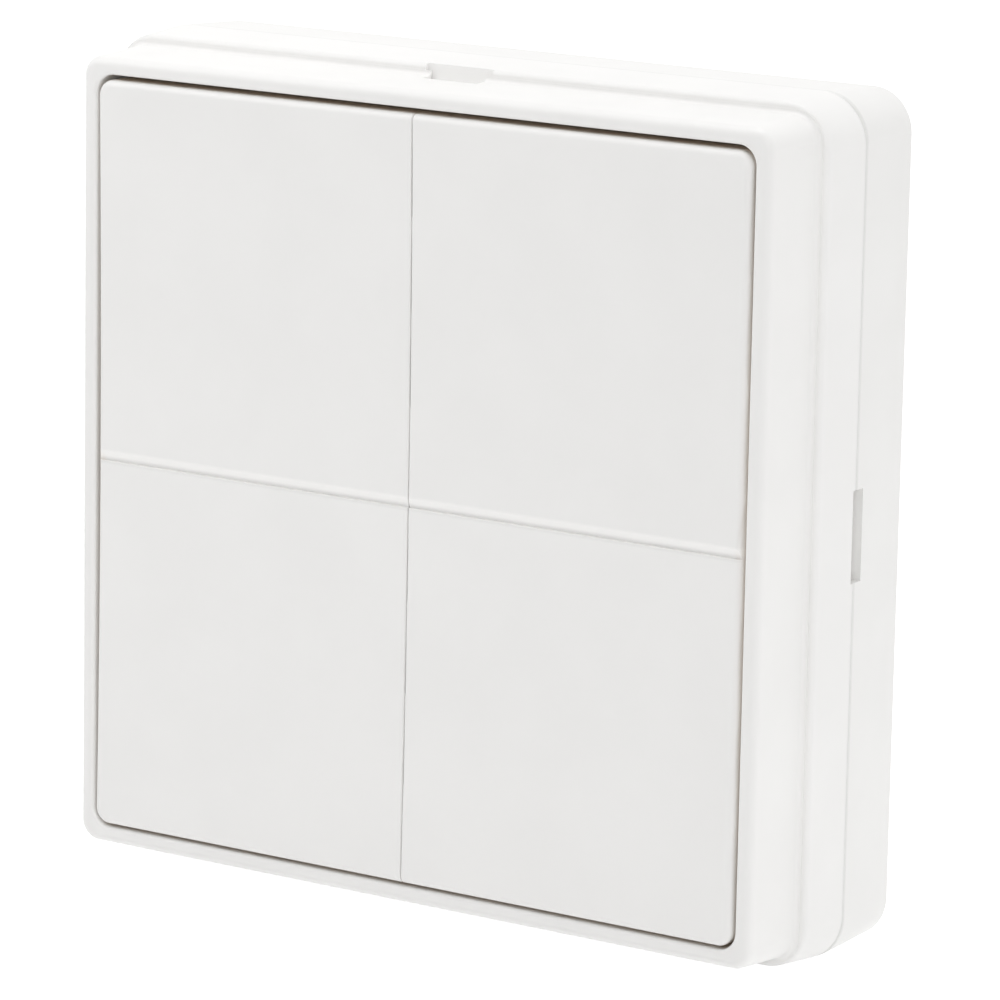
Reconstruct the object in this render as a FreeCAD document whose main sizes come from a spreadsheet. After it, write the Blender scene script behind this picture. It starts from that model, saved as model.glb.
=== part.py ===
import FreeCAD
import Part
import Sketcher

import math
import os
import re

# Wireless wall switch: two rockers side by side in a square frame, on a carrier and a back box.
# The origin is the centre of the back face, which lies on the wall. X runs to the right and Z up,
# and the switch stands out from the wall along -Y. A height here is a distance from the wall.

# Driving sizes in millimetres. Pairs, pitches and widths are overall; a half is taken where needed.
SIZES = {
    # Stack of the three shells, from the wall to the front
    "box_depth": 9.2,
    "band_depth": 6.2,
    "frame_depth": 7.6,
    # Front frame
    "frame_width": 80.0,
    "frame_flare": 0.46,
    "frame_rim": 1.7,
    "frame_corner": 2.0,
    "frame_edge": 0.9,
    "frame_lip_edge": 0.4,
    # Low skirt round the frame's foot, which curves up into the frame's walls
    "skirt_width": 0.5,
    "skirt_height": 0.08,
    "skirt_cove": 0.45,
    # How far a rib, stud or lug is rooted in the wall that it grows from
    "root": 0.3,
    # Snap tabs of the front frame, and their slots in the deck
    "tab_pitch": 44.0,
    "tab_width": 6.0,
    "tab_thickness": 1.0,
    "tab_room": 0.45,
    "tab_clearance": 0.1,
    "hook_reach": 0.4,
    "hook_height": 1.0,
    # Pry notch in the top, for a screwdriver tip: a bevel of the frame over a ramp in the carrier
    "notch_width": 6.4,
    "notch_height": 2.0,
    "notch_bite": 0.5,
    "notch_foot": 1.2,
    "notch_margin": 0.7,
    "notch_sink": 0.5,
    # Carrier, the middle band
    "ledge": 1.09,
    "band_flare": 0.53,
    "band_corner": 4.5,
    "band_edge": 0.5,
    "band_wall": 1.8,
    "deck": 1.8,
    "seam_edge": 0.3,
    # Lap joint and catches between the carrier and the back box
    "lap_height": 1.5,
    "lap_thickness": 1.0,
    "lap_clearance": 0.15,
    "catch_width": 8.0,
    "catch_height": 0.5,
    "catch_rise": 0.6,
    "catch_reach": 0.3,
    # Back box
    "seam_step": 0.08,
    "box_draw": 0.4,
    "box_corner": 4.2,
    "box_edge": 0.4,
    "box_wall": 2.0,
    "box_floor": 2.0,
    "pry_length": 9.0,
    "pry_in_box": 1.4,
    "pry_in_band": 0.55,
    "wall_screw_pitch": 60.0,
    "wall_screw_radius": 2.1,
    "wall_slot_travel": 4.0,
    # Rockers
    "rocker_gap": 0.32,
    "rocker_top_gap": 0.5,
    "rocker_split": 0.1,
    "rocker_corner": 1.6,
    "rocker_inside_corner": 1.2,
    "rocker_edge": 0.7,
    "rocker_split_edge": 0.15,
    "rocker_dish": 0.35,
    "rocker_proud": 0.25,
    "rocker_skin": 2.3,
    "rocker_room": 2.1,
    "rocker_wall": 1.6,
    "groove_drop": 0.5,
    "groove_sink": 0.32,
    "groove_ramp": 0.95,
    "groove_step": 0.08,
    # Rocker pivots and the carrier's bearing posts
    "pin_radius": 1.25,
    "pin_clearance": 0.06,
    "lug_clearance": 0.6,
    "lug_thickness": 2.0,
    "lug_cover": 0.95,
    "post_thickness": 2.2,
    "post_width": 5.0,
    "post_lip": 0.95,
    "post_grip": 0.2,
    "post_room": 1.6,
    "side_clearance": 0.3,
    # Studs of the rockers, plungers, and the carrier's guide collars
    "plunger_pitch": 44.0,
    "plunger_radius": 1.5,
    "plunger_dome": 1.0,
    "plunger_grip": 1.0,
    "plunger_travel": 0.8,
    "stud_radius": 2.0,
    "stud_length": 1.1,
    "press_gap": 0.05,
    "guide_clearance": 0.1,
    "collar_wall": 1.0,
    "collar_height": 1.6,
    # Circuit board and the parts soldered to its front
    "board_room": 1.6,
    "board_corner": 2.0,
    "board_thickness": 1.6,
    "switch_width": 6.2,
    "switch_height": 3.0,
    "switch_room": 0.2,
    "chip_width": 7.0,
    "chip_thickness": 1.0,
    "chip_across": 6.0,
    "chip_chamfer": 0.15,
    "radio_width": 13.0,
    "radio_length": 18.0,
    "radio_thickness": 0.8,
    "radio_margin": 3.5,
    "shield_width": 10.0,
    "shield_length": 11.0,
    "shield_height": 1.6,
    "shield_sheet": 0.2,
    "wire_radius": 0.3,
    "wire_seat": 0.02,
    "wire_bend": 4.0,
    "wire_margin": 3.5,
    "wire_end_gap": 4.0,
    "crystal_width": 5.0,
    "crystal_length": 3.2,
    "crystal_thickness": 1.1,
    "crystal_across": 6.0,
    "crystal_gap": 2.9,
    "capacitor_radius": 2.0,
    "capacitor_height": 2.2,
    "capacitor_across": 8.0,
    "capacitor_edge": 0.3,
    # Coin cell, its holder and contacts, on the board's back
    "cell_drop": 12.0,
    "cell_radius": 10.0,
    "cell_height": 3.2,
    "cell_shoulder": 1.5,
    "cap_height": 0.25,
    "cell_edge": 0.4,
    "cell_clearance": 0.15,
    "cell_lift": 0.8,
    "cell_seat": 0.02,
    "holder_wall": 1.45,
    "holder_depth": 3.0,
    "cap_clearance": 0.25,
    "latch_width": 4.0,
    "latch_reach": 0.55,
    "latch_height": 0.7,
    "latch_gap": 0.05,
    "contact_width": 4.0,
    "contact_sheet": 0.3,
    "contact_foot": 3.4,
    "contact_room": 0.2,
    "contact_gap": 0.05,
    "leaf_sheet": 0.2,
    "leaf_length": 3.0,
    # Rear cover and its four screws
    "cover_gap": 1.8,
    "cover_thickness": 1.5,
    "cover_wall": 1.5,
    "window_clearance": 0.4,
    "screw_margin": 5.0,
    "boss_radius": 2.4,
    "screw_radius": 1.0,
    "screw_bite": 3.0,
    "screw_fit": 0.05,
    "screw_room": 0.15,
    "head_radius": 1.9,
    "head_height": 1.2,
    "head_clearance": 0.3,
    "drive_width": 0.5,
    "drive_length": 2.2,
    "drive_depth": 0.7,
}

# Heights that several pieces share
SEAM = "box_depth"
LEDGE = "(box_depth + band_depth)"
FRONT = f"({LEDGE} + frame_depth)"
DECK_BACK = f"({LEDGE} - deck)"
BOARD_FRONT = f"({DECK_BACK} - switch_room - switch_height)"
BOARD_BACK = f"({BOARD_FRONT} - board_thickness)"
COVER_INSIDE = f"({BOARD_BACK} - cover_gap)"
COVER_BACK = f"({COVER_INSIDE} - cover_thickness)"
LAP_TOP = f"({SEAM} + lap_height)"
LUG_RADIUS = "(pin_radius + lug_cover)"
PIVOT = f"({LEDGE} + lug_clearance + {LUG_RADIUS})"
ROCKER_BACK = f"({LEDGE} + rocker_room)"
SKIN_BACK = f"({FRONT} - rocker_skin)"
ROCKER_FRONT = f"({FRONT} + rocker_proud)"
STUD_TIP = f"({SKIN_BACK} - stud_length)"
SWITCH_FRONT = f"({BOARD_FRONT} + switch_height)"
COLLAR_TIP = f"({LEDGE} + collar_height)"
CELL_FRONT = f"({BOARD_BACK} - cell_lift - cell_seat)"
CELL_BACK = f"({CELL_FRONT} - cell_height + cap_height)"
HOLDER_BACK = f"({BOARD_BACK} - holder_depth)"

# Half widths that several pieces share
FACE_HALF = "(frame_width / 2)"
FRAME_REAR_HALF = f"({FACE_HALF} + frame_flare)"
OPENING_HALF = f"({FACE_HALF} - frame_rim)"
BAND_FRONT_HALF = f"({FRAME_REAR_HALF} + ledge)"
BAND_REAR_HALF = f"({BAND_FRONT_HALF} + band_flare)"
BAND_INSIDE_HALF = f"({BAND_FRONT_HALF} - band_wall)"
BOX_FRONT_HALF = f"({BAND_REAR_HALF} - seam_step)"
BOX_REAR_HALF = f"({BOX_FRONT_HALF} - box_draw)"
BOX_INSIDE_HALF = f"({BOX_REAR_HALF} - box_wall)"
LAP_HALF = f"({BOX_INSIDE_HALF} + lap_thickness)"
REBATE_HALF = f"({LAP_HALF} + lap_clearance)"
TAB_OUTSIDE = f"({BAND_INSIDE_HALF} - tab_room)"
TAB_INSIDE = f"({TAB_OUTSIDE} - tab_thickness)"
ROCKERS_HALF = f"({OPENING_HALF} - rocker_gap)"
ROCKER_WIDTH = f"({ROCKERS_HALF} - rocker_split / 2)"
ROCKER_CENTRE = f"(rocker_split / 2 + {ROCKER_WIDTH} / 2)"
POST_OUTSIDE = f"({ROCKER_WIDTH} / 2 - rocker_wall - post_room)"
POST_INSIDE = f"({POST_OUTSIDE} - post_thickness)"
LUG_OUTSIDE = f"({POST_INSIDE} - side_clearance)"
BOARD_HALF = f"({BOX_INSIDE_HALF} - board_room)"
SCREW_PLACE = f"({BOARD_HALF} - screw_margin)"
RADIO_ACROSS = f"({BOARD_HALF} - radio_margin - radio_width / 2)"
CAP_RADIUS = "(cell_radius - cell_shoulder)"
HOLDER_INSIDE = "(cell_radius + cell_clearance)"
HOLDER_OUTSIDE = f"({HOLDER_INSIDE} + holder_wall)"

# A cut that leaves through a face starts or ends this far outside it
OVERRUN = "1.0"
# The groove's two faces run on past the rocker's face to this many times the groove's own depth
GROOVE_PAST = "3"
# Two edges closer than this count as being in the same place
TOUCH = 0.01

SIDES = {"left": -1, "right": 1}
ENDS = {"lower": -1, "upper": 1}

doc = FreeCAD.newDocument("wall_switch")
sheet = doc.addObject("Spreadsheet::Sheet", "sizes")


def fill_sheet():
    """Writes each driving size into a cell of its own, under its name."""
    for row, (name, value) in enumerate(SIZES.items(), start=1):
        sheet.set(f"A{row}", name)
        sheet.set(f"B{row}", str(value))
        sheet.setAlias(f"B{row}", name)
    doc.recompute()


def bound(text):
    """The expression with each size's name pointing at its cell."""
    return re.sub(r"[a-z][a-z_]*", lambda word: f"sizes.{word.group()}", text)


def number(text):
    """What an expression comes to at the sizes in the sheet."""
    return float(sheet.evalExpression(bound(text)))


class Outline:
    """A sketch on one of a body's own origin planes, with every corner bound to the sheet."""

    def __init__(self, body, name, offset="0", plane="XZ_Plane"):
        features = body.Origin.OriginFeatures
        support = next(feature for feature in features if feature.Role == plane)
        self.sketch = body.newObject("Sketcher::SketchObject", name)
        self.sketch.AttachmentSupport = [(support, "")]
        self.sketch.MapMode = "FlatFace"
        self.sketch.setExpression("AttachmentOffset.Base.z", bound(offset))

    def bind(self, kind, geometry, place, text):
        """Holds one coordinate of a point to an expression, measured from the sketch's origin."""
        index = self.sketch.addConstraint(
            Sketcher.Constraint(kind, -1, 1, geometry, place, number(text))
        )
        self.sketch.setExpression(f"Constraints[{index}]", bound(text))

    def chain(self, corners, centres, closed=True):
        """Lines through the corners; an edge that has a centre is an arc, drawn anticlockwise."""
        first = self.sketch.GeometryCount
        points = [FreeCAD.Vector(number(across), number(up), 0) for across, up in corners]
        count = len(points) if closed else len(points) - 1
        for edge in range(count):
            start = points[edge]
            end = points[(edge + 1) % len(points)]
            if edge in centres:
                across, up = centres[edge]
                centre = FreeCAD.Vector(number(across), number(up), 0)
                circle = Part.Circle(centre, FreeCAD.Vector(0, 0, 1), (start - centre).Length)
                turn_from = math.atan2(start.y - centre.y, start.x - centre.x)
                turn_to = math.atan2(end.y - centre.y, end.x - centre.x)
                self.sketch.addGeometry(Part.ArcOfCircle(circle, turn_from, turn_to))
            else:
                self.sketch.addGeometry(Part.LineSegment(start, end))
        joints = count if closed else count - 1
        for edge in range(joints):
            after = first + (edge + 1) % count
            self.sketch.addConstraint(Sketcher.Constraint("Coincident", first + edge, 2, after, 1))
        for edge in range(count):
            self.bind("DistanceX", first + edge, 1, corners[edge][0])
            self.bind("DistanceY", first + edge, 1, corners[edge][1])
        if not closed:
            self.bind("DistanceX", first + count - 1, 2, corners[-1][0])
            self.bind("DistanceY", first + count - 1, 2, corners[-1][1])
        for edge, centre in centres.items():
            self.bind("DistanceX", first + edge, 3, centre[0])
        return self

    def polygon(self, corners):
        """A closed outline of straight lines."""
        return self.chain(corners, {})

    def rectangle(self, left, bottom, right, top):
        """A rectangle between two corners."""
        return self.polygon([(left, bottom), (right, bottom), (right, top), (left, top)])

    def block(self, across, up, width, height):
        """A rectangle about its centre."""
        return self.rectangle(
            f"({across}) - ({width}) / 2",
            f"({up}) - ({height}) / 2",
            f"({across}) + ({width}) / 2",
            f"({up}) + ({height}) / 2",
        )

    def square(self, half, corner):
        """A square about the origin, with rounded corners."""
        edge = f"({half})"
        inner = f"(({half}) - ({corner}))"
        corners = [
            (f"-{inner}", f"-{edge}"),
            (inner, f"-{edge}"),
            (edge, f"-{inner}"),
            (edge, inner),
            (inner, edge),
            (f"-{inner}", edge),
            (f"-{edge}", inner),
            (f"-{edge}", f"-{inner}"),
        ]
        centres = {
            1: (inner, f"-{inner}"),
            3: (inner, inner),
            5: (f"-{inner}", inner),
            7: (f"-{inner}", f"-{inner}"),
        }
        return self.chain(corners, centres)

    def slot(self, across, up, travel, radius):
        """A level slot with round ends."""
        left = f"({across}) - {travel} / 2"
        right = f"({across}) + {travel} / 2"
        bottom = f"({up}) - {radius}"
        top = f"({up}) + {radius}"
        corners = [(left, bottom), (right, bottom), (right, top), (left, top)]
        return self.chain(corners, {1: (right, up), 3: (left, up)})

    def circle(self, across, up, radius):
        """A circle about a centre."""
        centre = FreeCAD.Vector(number(across), number(up), 0)
        normal = FreeCAD.Vector(0, 0, 1)
        index = self.sketch.addGeometry(Part.Circle(centre, normal, number(radius)))
        self.bind("DistanceX", index, 3, across)
        self.bind("DistanceY", index, 3, up)
        limit = self.sketch.addConstraint(Sketcher.Constraint("Radius", index, number(radius)))
        self.sketch.setExpression(f"Constraints[{limit}]", bound(radius))
        return self


def new_body(name):
    """An empty body whose label is the name of its file."""
    body = doc.addObject("PartDesign::Body", name)
    body.Label = name
    return body


def pad(body, name, outline, length, to_wall=False):
    """Adds the outline's thickness, towards the front unless told otherwise."""
    feature = body.newObject("PartDesign::Pad", name)
    feature.Profile = outline.sketch
    feature.Reversed = to_wall
    feature.setExpression("Length", bound(length))
    doc.recompute()
    return feature


def pocket(body, name, outline, length, to_front=False):
    """Cuts the outline away, towards the wall unless told otherwise."""
    before = body.Shape.Volume
    feature = body.newObject("PartDesign::Pocket", name)
    feature.Profile = outline.sketch
    feature.Reversed = to_front
    feature.setExpression("Length", bound(length))
    doc.recompute()
    if body.Shape.Volume >= before:
        raise RuntimeError(f"{body.Label}: {name} cuts nothing")
    return feature


def loft(body, name, first, second):
    """A drafted solid between two outlines."""
    feature = body.newObject("PartDesign::AdditiveLoft", name)
    feature.Profile = first.sketch
    feature.Sections = [second.sketch]
    feature.Ruled = True
    doc.recompute()
    return feature


def round_edges(body, name, chosen, radius):
    """Rounds the chosen edges of the body's last feature."""
    base = body.Tip
    names = [f"Edge{place}" for place, edge in enumerate(base.Shape.Edges, start=1) if chosen(edge)]
    if not names:
        raise RuntimeError(f"{body.Label}: {name} finds no edge")
    feature = body.newObject("PartDesign::Fillet", name)
    feature.Base = (base, names)
    feature.setExpression("Radius", bound(radius))
    doc.recompute()
    return feature


def rim(height, half):
    """Chooses the edges that run round a square of this half width, at one height."""
    level = -number(height)
    reach = number(half)

    def chosen(edge):
        box = edge.BoundBox
        furthest = max(abs(box.XMin), abs(box.XMax), abs(box.ZMin), abs(box.ZMax))
        flat = abs(box.YMin - level) < TOUCH and abs(box.YMax - level) < TOUCH
        return flat and abs(furthest - reach) < TOUCH

    return chosen


def upright(across):
    """Chooses the corner edges that run from back to front at this place across."""
    place = number(across)

    def chosen(edge):
        box = edge.BoundBox
        sideways = max(box.XLength, box.ZLength)
        return sideways < TOUCH < box.YLength and abs(box.XMin - place) < TOUCH

    return chosen


def across_at(across):
    """Chooses every edge that lies in the side plane at this place across."""
    place = number(across)

    def chosen(edge):
        box = edge.BoundBox
        return abs(box.XMin - place) < TOUCH and abs(box.XMax - place) < TOUCH

    return chosen


def level_with(height):
    """Chooses every edge that lies flat at one height."""
    level = -number(height)

    def chosen(edge):
        box = edge.BoundBox
        return abs(box.YMin - level) < TOUCH and abs(box.YMax - level) < TOUCH

    return chosen


def screw_places():
    """Where the four cover screws sit, near the board's corners."""
    return [
        (f"{side} * {SCREW_PLACE}", f"{end} * {SCREW_PLACE}")
        for side in SIDES.values()
        for end in ENDS.values()
    ]


def switch_places():
    """Where the four switches sit: behind the upper and the lower half of each rocker."""
    return {
        f"{end_name}_{side_name}": (f"{side} * {ROCKER_CENTRE}", f"{end} * plunger_pitch / 2")
        for end_name, end in ENDS.items()
        for side_name, side in SIDES.items()
    }


def post_places():
    """Where the bearing posts start and end across the switch, outside each pair of lugs."""
    places = []
    for side in SIDES.values():
        centre = f"{side} * {ROCKER_CENTRE}"
        places.append((f"{centre} - {POST_OUTSIDE}", f"{centre} - {POST_INSIDE}"))
        places.append((f"{centre} + {POST_INSIDE}", f"{centre} + {POST_OUTSIDE}"))
    return places


def make_back_box():
    """The rear shell, fixed to the wall."""
    body = new_body("back_box")
    rear = Outline(body, "box_rear").square(BOX_REAR_HALF, "box_corner")
    front = Outline(body, "box_front", SEAM).square(BOX_FRONT_HALF, "box_corner + box_draw")
    loft(body, "box_outside", rear, front)
    round_edges(body, "box_rear_edge", rim("0", BOX_REAR_HALF), "box_edge")
    round_edges(body, "box_seam_edge", rim(SEAM, BOX_FRONT_HALF), "seam_edge")

    lap = Outline(body, "lap_outline", SEAM).square(LAP_HALF, "box_corner - box_wall + lap_thickness")
    pad(body, "lap", lap, "lap_height")
    catches = Outline(body, "catch_outline", f"{SEAM} + catch_rise")
    for end in ENDS.values():
        edge = f"{end} * ({LAP_HALF} - lap_thickness / 2 + catch_reach / 2)"
        catches.block("0", edge, "catch_width", "lap_thickness + catch_reach")
    pad(body, "catches", catches, "catch_height")
    inside = Outline(body, "inside_outline", LAP_TOP).square(BOX_INSIDE_HALF, "box_corner - box_wall")
    pocket(body, "inside", inside, f"{LAP_TOP} - box_floor")

    pries = Outline(body, "pry_outline", SEAM)
    for side in SIDES.values():
        outer = f"({BOX_FRONT_HALF} + {OVERRUN})"
        middle = f"{side} * ({outer} + {LAP_HALF}) / 2"
        pries.block(middle, "0", f"{outer} - {LAP_HALF}", "pry_length")
    pocket(body, "pry_slots", pries, "pry_in_box")

    holes = Outline(body, "wall_hole_outline", "box_floor")
    for end in ENDS.values():
        holes.circle("0", f"{end} * wall_screw_pitch / 2", "wall_screw_radius")
    pocket(body, "wall_holes", holes, f"box_floor + {OVERRUN}")
    slots = Outline(body, "wall_slot_outline", "box_floor")
    for side in SIDES.values():
        slots.slot(f"{side} * wall_screw_pitch / 2", "0", "wall_slot_travel", "wall_screw_radius")
    pocket(body, "wall_slots", slots, f"box_floor + {OVERRUN}")
    return body


def make_carrier_frame():
    """The middle band, whose deck carries the rockers in front and the circuit board behind."""
    body = new_body("carrier_frame")
    rear = Outline(body, "band_rear", SEAM).square(BAND_REAR_HALF, "band_corner + band_flare")
    front = Outline(body, "band_front", LEDGE).square(BAND_FRONT_HALF, "band_corner")
    loft(body, "band_outside", rear, front)
    round_edges(body, "band_front_edge", rim(LEDGE, BAND_FRONT_HALF), "band_edge")
    round_edges(body, "band_seam_edge", rim(SEAM, BAND_REAR_HALF), "seam_edge")

    inside_corner = "band_corner - band_wall"
    inside = Outline(body, "band_inside", SEAM).square(BAND_INSIDE_HALF, inside_corner)
    pocket(body, "inside", inside, "band_depth - deck", to_front=True)
    rebate_corner = "box_corner - box_wall + lap_thickness + lap_clearance"
    rebate = Outline(body, "rebate_outline", SEAM).square(REBATE_HALF, rebate_corner)
    pocket(body, "rebate", rebate, "lap_height + lap_clearance", to_front=True)
    seats = Outline(body, "catch_seat_outline", f"{SEAM} + catch_rise + catch_height + lap_clearance")
    for end in ENDS.values():
        edge = f"{end} * ({REBATE_HALF} + catch_reach / 2 - lap_clearance)"
        width = "catch_width + 2 * lap_clearance"
        seats.block("0", edge, width, "catch_reach + 2 * lap_clearance")
    pocket(body, "catch_seats", seats, "catch_height + 2 * lap_clearance")

    slots = Outline(body, "tab_slot_outline", LEDGE)
    slot_inside = f"({TAB_INSIDE} - tab_clearance)"
    for side in SIDES.values():
        for end in ENDS.values():
            middle = f"{end} * ({BAND_INSIDE_HALF} + {slot_inside}) / 2"
            width = "tab_width + 2 * tab_clearance"
            depth = f"{BAND_INSIDE_HALF} - {slot_inside}"
            slots.block(f"{side} * tab_pitch / 2", middle, width, depth)
    pocket(body, "tab_slots", slots, "deck")

    # A ramp leads the screwdriver in; it starts under the frame and is deepest at the outside.
    half = "(notch_width / 2 + notch_margin)"
    foot = f"{FRAME_REAR_HALF} - notch_foot"
    outside = f"{BAND_FRONT_HALF} + band_edge"
    notch = Outline(body, "notch_outline", f"-{half}", "YZ_Plane").polygon(
        [
            (f"-{LEDGE}", foot),
            (f"-({LEDGE} + {OVERRUN})", foot),
            (f"-({LEDGE} + {OVERRUN})", outside),
            (f"-({LEDGE} - notch_sink)", outside),
        ]
    )
    pocket(body, "notch", notch, f"2 * {half}", to_front=True)

    pries = Outline(body, "pry_outline", SEAM)
    for side in SIDES.values():
        outer = f"({BAND_REAR_HALF} + {OVERRUN})"
        middle = f"{side} * ({outer} + {LAP_HALF}) / 2"
        pries.block(middle, "0", f"{outer} - {LAP_HALF}", "pry_length")
    pocket(body, "pry_slots", pries, "pry_in_band", to_front=True)

    bosses = Outline(body, "boss_outline", BOARD_FRONT)
    pilots = Outline(body, "pilot_outline", BOARD_FRONT)
    for across, up in screw_places():
        bosses.circle(across, up, "boss_radius")
        pilots.circle(across, up, "screw_radius + screw_fit")
    pad(body, "bosses", bosses, f"{DECK_BACK} - {BOARD_FRONT}")
    pocket(body, "pilots", pilots, "screw_bite + screw_room", to_front=True)

    collars = Outline(body, "collar_outline", LEDGE)
    guides = Outline(body, "guide_outline", COLLAR_TIP)
    for across, up in switch_places().values():
        collars.circle(across, up, "plunger_radius + guide_clearance + collar_wall")
        guides.circle(across, up, "plunger_radius + guide_clearance")
    pad(body, "collars", collars, "collar_height")
    pocket(body, "guides", guides, f"{COLLAR_TIP} - {DECK_BACK}")

    posts = Outline(body, "post_outline", LEDGE)
    for left, right in post_places():
        posts.rectangle(left, "-post_width / 2", right, "post_width / 2")
    pad(body, "posts", posts, f"{PIVOT} + post_lip - {LEDGE}")
    bore = Outline(body, "bore_outline", f"-{FACE_HALF}", "YZ_Plane")
    bore.circle(f"-{PIVOT}", "0", "pin_radius + pin_clearance")
    pocket(body, "bores", bore, "frame_width", to_front=True)
    throat = Outline(body, "throat_outline", f"-{FACE_HALF}", "YZ_Plane")
    half = "(pin_radius - post_grip)"
    throat.rectangle(f"-({PIVOT} + post_lip + {OVERRUN})", f"-{half}", f"-{PIVOT}", half)
    pocket(body, "throats", throat, "frame_width", to_front=True)
    return body


def make_front_frame():
    """The narrow frame round the rockers, held on the deck by four snap tabs."""
    body = new_body("front_frame")
    rear = Outline(body, "frame_rear", LEDGE).square(FRAME_REAR_HALF, "frame_corner + frame_flare")
    face = Outline(body, "frame_face", FRONT).square(FACE_HALF, "frame_corner")
    loft(body, "frame_outside", rear, face)
    skirt_half = f"({FRAME_REAR_HALF} + skirt_width)"
    skirt_corner = "frame_corner + frame_flare + skirt_width"
    skirt = Outline(body, "skirt_outline", LEDGE).square(skirt_half, skirt_corner)
    pad(body, "skirt", skirt, "skirt_height")
    wall = f"{FRAME_REAR_HALF} - frame_flare * skirt_height / frame_depth"
    round_edges(body, "foot_cove", rim(f"{LEDGE} + skirt_height", wall), "skirt_cove")
    round_edges(body, "front_edge", rim(FRONT, FACE_HALF), "frame_edge")
    opening = Outline(body, "opening_outline", FRONT)
    opening.square(OPENING_HALF, "rocker_corner + rocker_gap")
    pocket(body, "opening", opening, f"frame_depth + {OVERRUN}")
    round_edges(body, "lip_edge", rim(FRONT, OPENING_HALF), "frame_lip_edge")

    bite = f"{FRAME_REAR_HALF} - notch_bite"
    clear = f"{FRAME_REAR_HALF} + {OVERRUN}"
    notch = Outline(body, "notch_outline", "-notch_width / 2", "YZ_Plane").polygon(
        [
            (f"-({LEDGE} - {OVERRUN})", bite),
            (f"-{LEDGE}", bite),
            (f"-({LEDGE} + notch_height)", FRAME_REAR_HALF),
            (f"-({LEDGE} + notch_height)", clear),
            (f"-({LEDGE} - {OVERRUN})", clear),
        ]
    )
    pocket(body, "notch", notch, "notch_width", to_front=True)

    hook_front = f"({DECK_BACK} - tab_clearance)"
    tabs = Outline(body, "tab_outline", LEDGE)
    hooks = Outline(body, "hook_outline", hook_front)
    for side in SIDES.values():
        for end in ENDS.values():
            across = f"{side} * tab_pitch / 2"
            tab_middle = f"{end} * ({TAB_OUTSIDE} - tab_thickness / 2)"
            tabs.block(across, tab_middle, "tab_width", "tab_thickness")
            hook_middle = f"{end} * ({TAB_INSIDE} + tab_thickness / 2 - hook_reach / 2)"
            hooks.block(across, hook_middle, "tab_width", "tab_thickness + hook_reach")
    pad(body, "tabs", tabs, "deck + tab_clearance + hook_height", to_wall=True)
    pad(body, "hooks", hooks, "hook_height", to_wall=True)
    return body


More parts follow.
